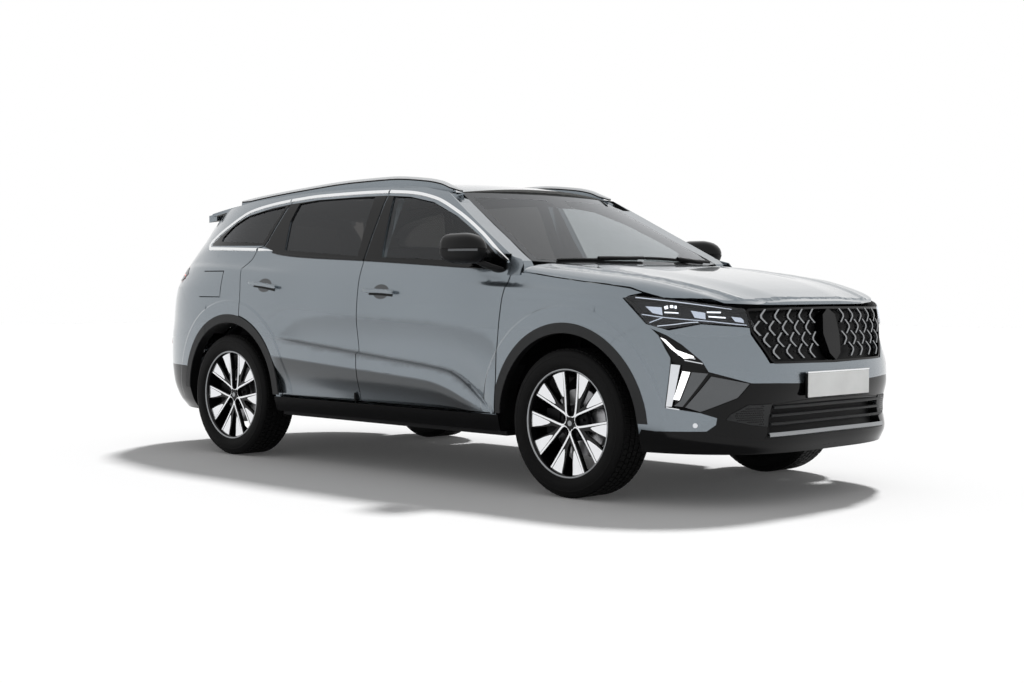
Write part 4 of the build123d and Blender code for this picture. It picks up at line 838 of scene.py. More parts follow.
# window surrounds
windows = {
    "chromeTop": [(-1.700, 1.246), (-1.732, 1.272), (-1.690, 1.308), (-1.568, 1.374), (-1.368, 1.462),
                  (-1.150, 1.500), (-0.741, 1.534), (-0.331, 1.539), (-0.132, 1.537), (0.068, 1.523),
                  (0.279, 1.486), (0.504, 1.404), (0.729, 1.294), (0.953, 1.160), (0.990, 1.140)],
    "chromeLow": [(-1.705, 1.243), (-1.500, 1.238), (-1.127, 1.228), (-0.985, 1.219)],
    "chromeWide": 0.018, "chromeProud": 0.007, "chromeSide": -0.1, "overlap": 0.020, "coverLift": 0.0022,
    "rearEnd": [(-1.004, 1.462), (-1.046, 1.334), (-1.066, 1.270), (-1.083, 1.243), (-1.050, 1.236)],
    "quarterLow": [(-1.092, 1.252), (-1.690, 1.262), (-1.700, 1.275), (-1.660, 1.300)],
    "quarterEnd": [(-1.016, 1.470), (-1.058, 1.338), (-1.078, 1.274)],
    "sillDoor": [(-1.132, 1.2283), (-1.05, 1.2245), (-0.985, 1.219)], "sillTaper": ((0, 1), (1.0, 0.15)),
    "frontStart": -0.124, "rearStart": -0.136, "stripWide": 0.014, "stripProud": 0.006,
    "belt": [(-1.119, 1.240), (-0.914, 1.202), (-0.731, 1.186), (-0.107, 1.158), (0.460, 1.129),
             (0.638, 1.119), (0.975, 1.106)],
    "frontGlass": [(0.010, 1.172), (0.905, 1.140), (0.730, 1.272), (0.500, 1.383), (0.275, 1.466),
                   (0.070, 1.502), (-0.075, 1.510)],
    "rearGlass": [(-0.875, 1.222), (-0.195, 1.180), (-0.235, 1.513), (-0.440, 1.516), (-0.741, 1.512),
                  (-0.905, 1.497), (-0.925, 1.390)],
    "quarterGlass": [(-1.112, 1.268), (-1.585, 1.285), (-1.590, 1.310), (-1.493, 1.396), (-1.405, 1.431),
                     (-1.217, 1.465), (-1.030, 1.487)],
}


def between(points, x0, x1):  # the part of a line from x0 to x1
    line = smoothTable(sorted(points))
    inner = [p for p in sorted(points) if x0 < p[0] < x1]
    return [(x0, float(line(x0))), *inner, (x1, float(line(x1)))]


topLine, low = windows["chromeTop"][2:], windows["belt"]
wide, proud = windows["chromeWide"], windows["chromeProud"]
frontStart, rearStart = windows["frontStart"], windows["rearStart"]


def underTop(x0, x1):  # the edge of a pillar cover, under the bright line
    return [(x, z - windows["overlap"]) for x, z in between(topLine, x0, x1)]


for name, line, body in (("Front", between(topLine, frontStart, 0.990), doors("front")),
                         ("Rear", between(topLine, -0.994, rearStart), doors("rear")),
                         ("Quarter", windows["chromeTop"][:2] + between(topLine, -1.690, -1.004), "body")):
    bright = ribbon(xz(line), wide, proud, 90, side=windows["chromeSide"])
    leftRight("windowChrome" + name, [bright], "chrome", body)
sill = ribbon(xz(windows["chromeLow"][:2] + [(-1.150, 1.2288)]), wide, proud, 90)
leftRight("windowChromeSill", [sill], "chrome")
sill = ribbon(xz(windows["sillDoor"]), wide, proud, 90, taper=windows["sillTaper"])
leftRight("windowChromeSillDoor", [sill], "chrome", doors("rear"))
frontCover = between(low, frontStart, 0.962) + [(0.962, 1.128)] + underTop(frontStart, 0.940)[::-1]
rearCover = [(-0.940, 1.2075)] + between(low, -0.914, rearStart)
rearCover += underTop(-0.990, rearStart)[::-1] + windows["rearEnd"]
quarterCover = windows["quarterLow"] + underTop(-1.640, -0.999) + windows["quarterEnd"]
for name, outline, pane, body in (("front", frontCover, windows["frontGlass"], doors("front")),
                                  ("rear", rearCover, windows["rearGlass"], doors("rear")),
                                  ("quarter", quarterCover, windows["quarterGlass"], "body")):
    cover = skinPatch(xz(outline), 90, windows["coverLift"], -0.004, [xz(pane)], field=plainField)
    leftRight(name + "PillarCover", [cover], "gloss_black", body)
for name, x0, x1 in (("Front", frontStart, 0.970), ("Rear", -0.985, rearStart)):
    belt = ribbon(xz(between(low, x0, x1)), windows["stripWide"], windows["stripProud"], 90)
    leftRight("beltStrip" + name, [belt], "gloss_black", doors(name.lower()))
print("window surrounds done")


# the nose
def insetRing(ring, by):  # a closed 2-D outline moved inwards
    p = np.array(ring, float)
    q = np.roll(p, -1, 0)
    if ((p[:, 0] * q[:, 1]) - (q[:, 0] * p[:, 1])).sum() < 0:
        p = p[::-1]
    run = unit(np.roll(p, -1, 0) - p)
    face = np.stack([-run[:, 1], run[:, 0]], 1)
    turn = face + np.roll(face, 1, 0)
    turn *= (2 / np.maximum((turn * turn).sum(1), 0.5))[:, None]
    return [tuple(v) for v in p + turn * by]


def tray(outline, azimuth, deep, wall=0.002, rim=-0.0005, spacing=0.03, corner=0.0, field=skinField):
    ring = flatten(outline, azimuth)
    if corner:
        ring = rounded(ring, corner)
    way = onSkin(azimuth, field)
    return joined([patchData([ring, insetRing(ring, wall)], way, rim, -deep, spacing),
                   patchData([ring], way, -deep, -deep - 0.002, spacing)])


def strip(points, width, azimuth, lift, sink, spacing=0.02, taper=None, field=skinField):  # let into the skin
    path, share = smoothPath(flatten(points, azimuth), spacing)
    normal = sideways(path) * (np.interp(share, *taper) if taper else np.ones(len(share)))[:, None]
    ring = [tuple(v) for v in np.concatenate([path + normal * width / 2, (path - normal * width / 2)[::-1]])]
    return patchData([ring], onSkin(azimuth, field), lift, sink, spacing)


lamp = {
    "azimuth": 52, "deep": 0.050, "net": 0.02,
    "reflectorLift": (-0.020, -0.026), "cellDeep": 0.030, "cellRim": -0.014, "sparkLift": (-0.0125, -0.020),
    "lineWide": 0.0042, "lineLift": (-0.010, -0.018), "topWide": 0.007, "topLift": (-0.005, -0.012),
    "edgeWide": 0.004, "edgeLift": (-0.008, -0.012), "coverLift": (0.0, -0.003),
    "outline": [(1.758, 0.877, 0.969), (1.819, 0.863, 0.977), (1.924, 0.829, 0.967), (2.038, 0.767, 0.954),
                (2.123, 0.697, 0.940), (2.187, 0.615, 0.925), (2.216, 0.561, 0.918), (2.252, 0.517, 0.834),
                (2.199, 0.629, 0.842), (2.136, 0.713, 0.850), (2.100, 0.749, 0.850), (2.040, 0.795, 0.836),
                (1.972, 0.832, 0.826), (1.930, 0.849, 0.833), (1.888, 0.862, 0.847), (1.852, 0.869, 0.888),
                (1.807, 0.875, 0.931)],
    "lowLine": [(1.852, 0.870, 0.892), (1.957, 0.835, 0.879), (2.052, 0.784, 0.870), (2.135, 0.713, 0.862),
                (2.198, 0.628, 0.851), (2.240, 0.536, 0.842)],
    "hook": [(1.957, 0.835, 0.877), (1.897, 0.859, 0.853)],
    "lowEdge": [(1.935, 0.846, 0.838), (2.000, 0.818, 0.845), (2.070, 0.770, 0.856), (2.100, 0.748, 0.858)],
    "topLine": [(1.819, 0.863, 0.971), (1.925, 0.830, 0.961), (2.040, 0.770, 0.947), (2.124, 0.699, 0.933),
                (2.189, 0.616, 0.919)],
    "reflectors": [[(1.868, 0.858, 0.931), (1.945, 0.832, 0.928), (1.953, 0.834, 0.889),
                    (1.905, 0.852, 0.899)],
                   [(2.068, 0.765, 0.913), (2.119, 0.719, 0.903), (2.124, 0.722, 0.872),
                    (2.085, 0.757, 0.879)],
                   [(2.195, 0.617, 0.885), (2.218, 0.573, 0.880), (2.236, 0.541, 0.852),
                    (2.205, 0.600, 0.862)]],
    "cells": [[(1.955, 0.827, 0.938), (2.012, 0.796, 0.938), (2.018, 0.803, 0.898), (1.962, 0.831, 0.894)],
              [(2.120, 0.717, 0.912), (2.172, 0.658, 0.909), (2.176, 0.660, 0.879), (2.128, 0.714, 0.878)]],
    "sparks": [[(1.957, 0.826, 0.930), (1.972, 0.818, 0.936), (1.976, 0.818, 0.922), (1.962, 0.826, 0.917)],
               [(1.982, 0.813, 0.937), (1.996, 0.806, 0.937), (1.998, 0.807, 0.925), (1.984, 0.814, 0.925)],
               [(2.001, 0.802, 0.935), (2.010, 0.797, 0.935), (2.012, 0.799, 0.922), (2.003, 0.804, 0.922)],
               [(1.962, 0.829, 0.905), (2.022, 0.800, 0.902), (2.024, 0.800, 0.897), (1.964, 0.830, 0.899)],
               [(2.123, 0.714, 0.908), (2.166, 0.664, 0.907), (2.167, 0.664, 0.901), (2.124, 0.715, 0.902)],
               [(2.131, 0.711, 0.887), (2.182, 0.650, 0.882), (2.184, 0.648, 0.876), (2.132, 0.711, 0.881)]],
}
a, net = lamp["azimuth"], lamp["net"]
housing = tray(lamp["outline"], a, lamp["deep"], 0.004, spacing=net)
leftRight("headlampHousing", [housing], "black_plastic", replaced=(["headlamps"], ()))
reflectors = [skinPatch(o, a, *lamp["reflectorLift"], spacing=net) for o in lamp["reflectors"]]
leftRight("headlampReflectors", reflectors, "lamp_silver")
cells = [tray(o, a, lamp["cellDeep"], 0.0025, lamp["cellRim"]) for o in lamp["cells"]]
leftRight("headlampCells", cells, "gloss_black")
leftRight("headlampLenses", [skinPatch(o, a, *lamp["sparkLift"]) for o in lamp["sparks"]], "white_light")
lines = [strip(lamp[k], lamp["lineWide"], a, *lamp["lineLift"]) for k in ("lowLine", "hook")]
leftRight("headlampLightLine", lines, "lamp_silver")
trim = [strip(lamp["topLine"], lamp["topWide"], a, *lamp["topLift"]),
        strip(lamp["lowEdge"], lamp["edgeWide"], a, *lamp["edgeLift"])]
leftRight("headlampTrim", trim, "chrome")
leftRight("headlampCover", [skinPatch(lamp["outline"], a, *lamp["coverLift"], spacing=net)], "lamp_clear")

signature = {
    "azimuth": nose["azimuth"], "deep": 0.032, "net": 0.015,
    "leafLift": (-0.008, -0.014), "stripLift": (-0.005, -0.010), "strokeWide": 0.0045,
    "strokeLift": (-0.0055, -0.010),
    "chromeLift": (-0.002, -0.012), "footWide": 0.005, "footLift": (0.001, -0.010),
    "barLift": (-0.004, -0.014),
    "midLift": (-0.006, -0.016), "wideLift": (-0.004, -0.016),
    "strip": [(1.951, 0.843, 0.787), (1.974, 0.834, 0.778), (2.024, 0.814, 0.731), (2.092, 0.775, 0.704),
              (2.096, 0.773, 0.696), (2.057, 0.799, 0.690), (2.003, 0.825, 0.733)],
    "strokes": [[(2.059, 0.798, 0.684), (2.132, 0.747, 0.668)],
                [(2.030, 0.812, 0.709), (2.100, 0.771, 0.690)]],
    "leafCover": [(1.915, 0.855, 0.823), (1.947, 0.845, 0.793), (1.978, 0.836, 0.735), (2.004, 0.827, 0.694),
                  (2.003, 0.828, 0.676), (2.060, 0.798, 0.671), (2.146, 0.738, 0.635), (2.122, 0.754, 0.679),
                  (2.043, 0.801, 0.753), (1.980, 0.831, 0.792)],
    "paneChrome": [(2.003, 0.828, 0.665), (2.043, 0.808, 0.661), (2.006, 0.821, 0.470),
                   (1.979, 0.833, 0.470)],
    "lightBar": [(2.052, 0.804, 0.634), (2.083, 0.786, 0.630), (2.038, 0.807, 0.500), (2.013, 0.820, 0.503)],
    "paneMid": [(2.089, 0.782, 0.630), (2.147, 0.736, 0.624), (2.049, 0.798, 0.470), (2.016, 0.817, 0.473),
                (2.044, 0.804, 0.499)],
    "paneWide": [(2.159, 0.727, 0.611), (2.266, 0.578, 0.577), (2.233, 0.627, 0.511), (2.115, 0.749, 0.448),
                 (2.060, 0.791, 0.468)],
    "foot": [(1.982, 0.832, 0.466), (2.038, 0.804, 0.458)],
    "sensor": (2.097, 0.763, 0.386), "sensorR": 0.011,
}
a, net = signature["azimuth"], signature["net"]
leftRight("dayLampBowl", [tray(nose["signature"], a, signature["deep"], 0.003, spacing=net)], "gloss_black")


def laid(outline, lift):  # one of the side lights' shapes, laid in their bowl
    return skinPatch(signature[outline], a, *signature[lift], spacing=net)


strokes = [strip(p, signature["strokeWide"], a, *signature["strokeLift"]) for p in signature["strokes"]]
foot = strip(signature["foot"], signature["footWide"], a, *signature["footLift"])
for name, parts, material in (
        ("dayLampLeaf", [laid("leafCover", "leafLift")], "gloss_black"),
        ("dayLampStrip", [laid("strip", "stripLift")], "white_light"),
        ("dayLampStrokes", strokes, "lamp_silver"),
        ("sidePaneChrome", [laid("paneChrome", "chromeLift"), foot], "lamp_silver"),
        ("sideLightBar", [laid("lightBar", "barLift")], "white_light"),
        ("sidePanes", [laid("paneMid", "midLift"), laid("paneWide", "wideLift")], "pane_metal")):
    leftRight(name, parts, material)


def circle(count, radius, tall=None):  # evenly round from the first axis towards the second
    return [(radius * cos(2 * pi * k / count), (tall or radius) * sin(2 * pi * k / count))
            for k in range(count)]


u, v = flatten([signature["sensor"]], a)[0]
disc = [(u + x, v + y) for x, y in circle(16, signature["sensorR"])]
leftRight("parkingSensor", [patchData([disc], onSkin(a), 0.0018, -0.002)], "lamp_silver")
print("headlamps and side lights done")


def repeated(name, part, places, facings, material, across, size=1.0):
    # one small shape on many places, by geometry nodes: its Z along facing, its X along across
    seeds = bpy.data.meshes.new(name + "Places")
    seeds.from_pydata([tuple(p) for p in places], [], [])
    for word, rows in (("facing", facings), ("across", across)):
        layer = seeds.attributes.new(word, "FLOAT_VECTOR", "POINT")
        layer.data.foreach_set("vector", np.array(rows, np.float32).ravel())
    host = bpy.data.objects.new(name + "Host", seeds)
    unit = bpy.data.objects.new(name + "Unit", part)
    for piece in (host, unit):
        scene.collection.objects.link(piece)
    group = bpy.data.node_groups.new(name + "Repeat", "GeometryNodeTree")
    face = group.interface
    for word, kind, way in (("Places", "NodeSocketGeometry", "INPUT"), ("Unit", "NodeSocketObject", "INPUT"),
                            ("Size", "NodeSocketFloat", "INPUT"), ("Material", "NodeSocketMaterial", "INPUT"),
                            ("Result", "NodeSocketGeometry", "OUTPUT")):
        face.new_socket(word, in_out=way, socket_type=kind)

    def add(kind, links=None, **settings):
        made = group.nodes.new(kind)
        for key, value in settings.items():
            setattr(made, key, value)
        for socket, source in (links or {}).items():
            if isinstance(source, bpy.types.NodeSocket):
                group.links.new(source, made.inputs[socket])
            else:
                made.inputs[socket].default_value = source
        return made

    start = add("NodeGroupInput")
    ways = [add("GeometryNodeInputNamedAttribute", {"Name": word}, data_type="FLOAT_VECTOR").outputs[0]
            for word in ("facing", "across")]
    tilt = add("FunctionNodeAxesToRotation", {"Primary Axis": ways[0], "Secondary Axis": ways[1]},
               primary_axis="Z", secondary_axis="X")
    source = add("GeometryNodeObjectInfo", {"Object": start.outputs[1]})
    laid = add("GeometryNodeInstanceOnPoints",
               {"Points": start.outputs[0], "Instance": source.outputs["Geometry"],
                                                "Rotation": tilt.outputs[0], "Scale": start.outputs[2]})
    real = add("GeometryNodeRealizeInstances", {"Geometry": laid.outputs[0]})
    dressed = add("GeometryNodeSetMaterial", {"Geometry": real.outputs[0], "Material": start.outputs[3]})
    add("NodeGroupOutput", {0: dressed.outputs[0]})
    ids = {item.name: item.identifier for item in face.items_tree if item.in_out == "INPUT"}
    modifier = host.modifiers.new("repeat", "NODES")
    modifier.node_group = group
    for word, value in (("Unit", unit), ("Size", float(size)), ("Material", finish[material])):
        modifier[ids[word]] = value
    grown = bpy.data.meshes.new_from_object(host.evaluated_get(bpy.context.evaluated_depsgraph_get()))
    grown.name = name
    host.modifiers.remove(modifier)
    for piece in (host, unit):
        bpy.data.objects.remove(piece)
    bpy.data.node_groups.remove(group)
    grown.materials.clear()
    return grown


def sides(n):  # the faces of a prism with n corners at each end
    walls = [(k, (k + 1) % n, (k + 1) % n + n, k + n) for k in range(n)]
    return [tuple(range(n))[::-1], tuple(range(n, 2 * n))] + walls


def prismMesh(name, outline, low, high):  # a flat shape with a straight thickness
    mesh = bpy.data.meshes.new(name)
    mesh.from_pydata([(*p, level) for level in (low, high) for p in outline], [], sides(len(outline)))
    return outward(mesh)


def frames(u, v, azimuth, lift, field=skinField):
    # places on the skin, the way out of it and the level way across
    p = skinPoint(u, v, azimuth, lift, field)
    n = unit(slopeOf(field, p))
    return p, n, unit(np.cross([0.0, 0.0, 1.0], n))


grille = {
    "half": [(0.0, 0.661), (0.441, 0.665), (0.462, 0.680), (0.545, 0.815), (0.556, 0.908), (0.540, 0.918),
             (0.300, 0.922), (0.0, 0.924)],
    "deep": 0.038, "rimWide": 0.010, "edgeGap": 0.030,
    "rows": [0.882, 0.828, 0.774, 0.720], "pitch": 0.0850, "first": 0.118, "shift": 0.0425, "proud": -0.004,
    "armTall": 0.034, "armDeep": 0.029, "stroke": 0.0110,
    "bend": 0.20, "innerBend": 0.16, "tip": 1.1,  # shares of the arm and of the stroke
    "linkLong": 0.020, "linkOver": 0.002, "linkHalf": 0.0022,
    "shield": [(0.0, 0.914), (0.052, 0.886), (0.068, 0.795), (0.045, 0.702), (0.0, 0.670)],
    "shieldProud": 0.012,
}


def bothHalves(half):  # an outline across the nose from its left half, top left point last
    right = [(-y, z) for y, z in half[::-1] if y > 1e-6]
    return [(0.0, y, z) for y, z in half + right]


ring = bothHalves(grille["half"])
inner = [(0.0, *p) for p in insetRing([(y, z) for _, y, z in ring], grille["rimWide"])]
back = tray(ring, 0, grille["deep"], 0.004, spacing=0.04, field=plainField)
onePiece("grilleBack", [back], "black_plastic", "body", ["grille"])
onePiece("grilleRim", [skinPatch(ring, 0, 0.001, -0.020, [inner], field=plainField)], "gloss_black")

t, d, w = grille["armTall"], grille["armDeep"], grille["stroke"]
inner = t * grille["innerBend"]
upper = [(w * grille["tip"], t), (0, t), (-d, t * grille["bend"])]
chevron = upper + [(x, -z) for x, z in upper[::-1]] + [(-d + w, -inner), (-d + w, inner)]
reach, thin = grille["linkLong"], grille["linkHalf"]
bar = [(-d - reach, thin), (-d + grille["linkOver"], thin), (-d + grille["linkOver"], -thin),
       (-d - reach, -thin)]
rows = []
for k, z in enumerate(grille["rows"]):
    start = grille["first"] + (grille["shift"] if k % 2 else 0)
    edge = float(np.interp(z, [0.665, 0.68, 0.815, 0.908], [0.441, 0.462, 0.545, 0.556])) - grille["edgeGap"]
    rows += [(y, z) for y in np.arange(start, edge, grille["pitch"])]
rows = np.array(rows)
for name, sign in (("grilleChevronsLeft", 1), ("grilleChevronsRight", -1)):
    place, face, across = frames(rows[:, 0] * sign, rows[:, 1], 0, grille["proud"], plainField)
    for word, outline, high, material in (("", chevron, 0.004, "grey_metal"),
                                          ("Links", bar, -0.004, "gloss_black")):
        piece = prismMesh(name + word + "Unit", [(x * -1 * sign, y) for x, y in outline], -0.012, high)
        mesh = repeated(name + word, piece, place, face, material, across)
        addPiece(name + word, mesh, [material], "body")
shield = bothHalves([grille["shield"][-1], *grille["shield"][-2:0:-1], grille["shield"][0]])
shieldPatch = skinPatch(shield, 0, grille["shieldProud"], -0.030, field=plainField)
onePiece("grilleShield", [shieldPatch], "gloss_black")
print("grille done")

lowerGrille = {
    "barRise": 0.004, "barHalf": 0.46, "holeR": 0.0040, "holeBand": (0.388, 0.476, 0.0105), "holeEdge": 0.007,
    "holeAlong": (0.470, 0.650, 0.012), "holeShift": 0.006,
    "half": [(0.0, 0.325), (0.500, 0.322), (0.478, 0.350), (0.440, 0.478), (0.250, 0.492), (0.0, 0.494)],
    "bars": [(0.464, 0.438, 0.0135), (0.425, 0.446, 0.0135), (0.385, 0.456, 0.0135)],
    "lip": [(0.0, 0.341), (0.25, 0.340), (0.478, 0.337)],
    "side": [(2.297, 0.452, 0.480), (2.252, 0.575, 0.478), (2.206, 0.645, 0.436), (2.196, 0.662, 0.412),
             (2.262, 0.560, 0.386), (2.296, 0.480, 0.374)],
}
ring = bothHalves(lowerGrille["half"])
back = tray(ring, 0, 0.040, 0.003, 0.0015, 0.05, field=plainField)
onePiece("lowerGrilleBack", [back], "black_plastic")
bars = []
for z, reach, high in lowerGrille["bars"]:
    line = [(0.0, y, z + lowerGrille["barRise"] * (1 - (y / lowerGrille["barHalf"]) ** 2))
            for y in np.linspace(-reach, reach, 9)]
    bars.append(ribbon(line, high, 0.010, 0, 0.03))
onePiece("lowerGrilleBars", bars, "grey_plastic")
lip = [(0.0, -y, z) for y, z in lowerGrille["lip"][:0:-1]] + [(0.0, y, z) for y, z in lowerGrille["lip"]]
onePiece("lowerGrilleLip", [ribbon(lip, 0.020, 0.012, 0, 0.03)], "grey_metal")
a = nose["azimuth"]
mesh = skinPatch(lowerGrille["side"], a, 0.0035, -0.004, spacing=0.02)
leftRight("lowerGrilleSide", [mesh], "grey_plastic")
start, end, pitch = lowerGrille["holeAlong"]
dots = [(2.25, y, z) for k, z in enumerate(np.arange(*lowerGrille["holeBand"]))
        for y in np.arange(start + lowerGrille["holeShift"] * (k % 2), end, pitch)]
places = np.array(flatten(dots, a))
u, v = places[insideRings(places, [insetRing(flatten(lowerGrille["side"], a), lowerGrille["holeEdge"])])].T
for name, flip in (("grilleHolesLeft", 1), ("grilleHolesRight", -1)):
    place, face, across = frames(u, v, a, 0.0034)
    way = np.array([1, flip, 1])
    hole = prismMesh(name + "Unit", circle(6, lowerGrille["holeR"]), -0.001, 0.0006)
    mesh = repeated(name, hole, place * way, face * way, "gloss_black", across * way)
    addPiece(name, mesh, ["gloss_black"], "body")

plate = {"centre": (2.3636, 0.0, 0.560), "wide": 0.520, "tall": 0.112, "thick": 0.0021, "corner": 0.004,
         "holder": 0.012, "margin": 0.002, "marginUp": 0.004, "lip": 0.008, "lipBack": 0.010,
         "lipProud": 0.0025}


def slab(x0, x1, y0, y1, z0, z1, corner):  # a block with its corners rounded, seen from the front
    ring = rounded([(y0, z0), (y1, z0), (y1, z1), (y0, z1)], corner)
    return [(x, *p) for x in (x0, x1) for p in ring], sides(len(ring))


x, y, z = plate["centre"]
w, h, more = plate["wide"] / 2, plate["tall"] / 2, plate["margin"]
face = slab(x, x + plate["thick"], y - w, y + w, z - h, z + h, plate["corner"])
onePiece("frontPlate", [face], "plate_white")
near, far, top = y - w - more, y + w + more, z + h
holder = slab(x - plate["holder"], x, near, far, z - h - plate["marginUp"], top + plate["marginUp"], 0.005)
onePiece("plateHolder", [holder], "black_plastic", "body", ["plate_holder"])
ledge = slab(x - plate["lipBack"], x + plate["lipProud"], near, far, top + 0.001, top + plate["lip"], 0.001)
onePiece("plateLip", [ledge], "chrome")
print("lower grille and plate done")


# wheels: one built round the origin for the left side, then placed four times
wheel = {
    "places": {"front": 1.421, "rear": -1.317}, "middle": 0.7875, "axle": 0.360, "rimR": 0.265, "first": 2.4,
    "face": [(0.0, 0.076), (0.10, 0.077), (0.20, 0.082), (0.265, 0.088)],
    "line": [(0.178, 0.925), (0.150, 0.600), (0.122, 0.270), (0.108, 0.170), (0.072, 0.118), (0.0, 0.100)],
    "lineWide": 0.036,
    "blade": [(0.205, 0.930), (0.190, 0.720), (0.178, 0.500), (0.185, 0.455), (0.235, 0.500), (0.330, 0.640),
              (0.400, 0.770), (0.452, 0.852), (0.380, 0.887), (0.300, 0.917), (0.224, 0.939)],
    "arm": [(0.085, 0.120), (0.150, 0.920), (0.165, 0.965), (0.330, 0.930), (0.470, 0.870), (0.400, 0.720),
            (0.280, 0.500), (0.225, 0.400), (0.190, 0.220), (0.150, 0.130)],
    "barrel": [(0.2630, 0.1040), (0.2565, 0.1035), (0.2525, 0.0980), (0.2490, 0.0880), (0.2470, 0.0600),
               (0.2420, 0.0100), (0.2400, -0.0900), (0.2560, -0.1000), (0.2620, -0.1040), (0.2630, -0.0900),
               (0.2630, 0.0900)],
    "lip": [(0.2645, 0.1050), (0.2605, 0.1062), (0.2560, 0.1050), (0.2550, 0.1030), (0.2640, 0.1020)],
    "floor": [(0.0, 0.050), (0.084, 0.050), (0.088, 0.046), (0.088, 0.020), (0.0, 0.020)],
    "hub": [(0.0, 0.079), (0.030, 0.078), (0.037, 0.074), (0.037, 0.050), (0.0, 0.050)],
    "starOut": 0.150, "starIn": 0.088, "starHigh": 0.005, "capR": 0.05, "capHigh": 0.0062,
    "boltR": 0.066, "boltSize": 0.0085, "boltAcross": 0.056, "bolts": 5, "spokes": 5,
    "tyre": [(0.2635, 0.0900), (0.2620, 0.1045), (0.2700, 0.1095), (0.2750, 0.1112), (0.2765, 0.1128),
             (0.2780, 0.1122), (0.2820, 0.1145), (0.3000, 0.1172), (0.3180, 0.1170), (0.3240, 0.1157),
             (0.3255, 0.1165), (0.3270, 0.1148), (0.3350, 0.1130), (0.3470, 0.1070), (0.3535, 0.0990),
             (0.3540, 0.0885)],
    "treadR": 0.354, "treadTop": 0.3596, "rows": [(0.0, 0.030), (0.037, 0.028), (0.074, 0.032)], "blocks": 72,
    "blockLong": 0.40, "blockLean": 0.002, "rowTurn": 0.02,
}
R, first = wheel["rimR"], radians(wheel["first"])
faceAt = smoothTable(wheel["face"])


def onFace(u, v, lift):  # a flat outline laid on the dished face of the wheel
    u, v = np.asarray(u) * R, np.asarray(v) * R
    return np.stack([u, faceAt(np.hypot(u, v)) + lift, v], 1)


def turned(data, angle):  # turned about the axle, from up towards the front
    points, faces = data
    c, s = cos(angle), sin(angle)
    x, y, z = np.array(points, float).T
    return np.stack([x * c + z * s, y, z * c - x * s], 1), faces


def allRound(outlines, lift, sink, spacing):  # one spoke's outlines laid on the face, and repeated round it
    data = joined([patchData([o], onFace, lift, sink, spacing) for o in outlines])
    count = wheel["spokes"]
    return joined([turned(data, first + 2 * pi * k / count) for k in range(count)])


def bothWays(outline):
    return [outline, [(-u, v) for u, v in outline[::-1]]]


def lathe(profile, steps=96):  # radius and distance out along the axle
    p = np.array(profile, float)
    angles = np.arange(steps) * 2 * pi / steps
    flat = np.tile(p[:, 1], (steps, 1))
    points = np.stack([np.outer(np.sin(angles), p[:, 0]), flat, np.outer(np.cos(angles), p[:, 0])], 2)
    n = len(p)
    faces = [(k * n + j, k * n + (j + 1) % n, (k + 1) % steps * n + (j + 1) % n, (k + 1) % steps * n + j)
             for k in range(steps) for j in range(n)]
    return points.reshape(-1, 3), faces


def lineRing(points, width):  # a closed outline along both sides of a smooth line
    path, _ = smoothPath(points, 0.05)
    normal = sideways(path) * width / 2
    return [tuple(p) for p in np.concatenate([path + normal, (path - normal)[::-1]])]


def roundPlaces(radius, across, count, first):
    angles = first + np.arange(count) * 2 * pi / count
    out = np.stack([np.sin(angles), np.zeros(count), np.cos(angles)], 1)
    return out * radius + np.array([0.0, across, 0.0]), out


star = []
for k in range(2 * wheel["spokes"]):
    angle = first + k * pi / wheel["spokes"]
    reach = wheel["starOut"] if k % 2 else wheel["starIn"]
    star.append((reach * sin(angle), reach * cos(angle)))
lines = [lineRing(half, wheel["lineWide"]) for half in (wheel["line"], [(-u, v) for u, v in wheel["line"]])]
blades = [rounded(o, 0.02) for o in bothWays(wheel["blade"])]
cap = [(y, x) for x, y in circle(24, wheel["capR"])]
wheelParts = []
for part, data, angle, material in (
        ("Barrel", lathe(wheel["barrel"]), 30, "wheel_dark"),
        ("Lip", lathe(wheel["lip"]), 60, "grey_metal"),
        ("Floor", lathe(wheel["floor"], 48), 30, "dark_steel"),
        ("Arms", allRound(bothWays(wheel["arm"]), -0.004, -0.026, 0.08), 30, "wheel_dark"),
        ("Blades", allRound(blades, 0.0, -0.006, 0.10), 30, "alloy"),
        ("Lines", allRound(lines, 0.0015, -0.006, 0.06), 30, "alloy"),
        ("Hub", lathe(wheel["hub"], 40), 30, "gloss_black"),
        ("Star", patchData([star], onFace, wheel["starHigh"], -0.006, 0.06), 30, "gloss_black"),
        ("Cap", patchData([cap], onFace, wheel["capHigh"], 0.0, 0.05), 30, "grey_metal")):
    wheelParts.append((part, outward(meshFrom("wheel" + part, data, angle)), material))
place, out = roundPlaces(wheel["boltR"], wheel["boltAcross"], wheel["bolts"], first)
bolt = prismMesh("bolt", circle(6, wheel["boltSize"]), -0.006, 0.010)
bolts = repeated("bolts", bolt, place, [(0, 1, 0)] * len(place), "dark_steel", out)
wheelParts.append(("Bolts", bolts, "dark_steel"))
sidewall = wheel["tyre"] + [(r, -w) for r, w in wheel["tyre"][::-1]]
wheelParts.append(("Tyre", outward(meshFrom("wheelTyre", lathe(sidewall, 128), 50)), "tyre_rubber"))
high, lean = wheel["treadTop"] - wheel["treadR"], wheel["blockLean"]
long = 2 * pi * wheel["treadR"] / wheel["blocks"] * wheel["blockLong"]
blockRows = [(side * w, size / 2) for w, size in wheel["rows"] for side in ((1,) if w == 0 else (1, -1))]
for k, (w, half) in enumerate(blockRows):
    place, out = roundPlaces(wheel["treadR"], w, wheel["blocks"], k * wheel["rowTurn"])
    outline = [(-half, -long - lean), (half, -long + lean), (half, long + lean), (-half, long - lean)]
    block = prismMesh("treadBlock", outline, -0.001, high)
    tread = repeated("tread", block, place, out, "tyre_rubber", [(0, 1, 0)] * len(place))
    wheelParts.append((f"Tread{k}", tread, "tyre_rubber"))
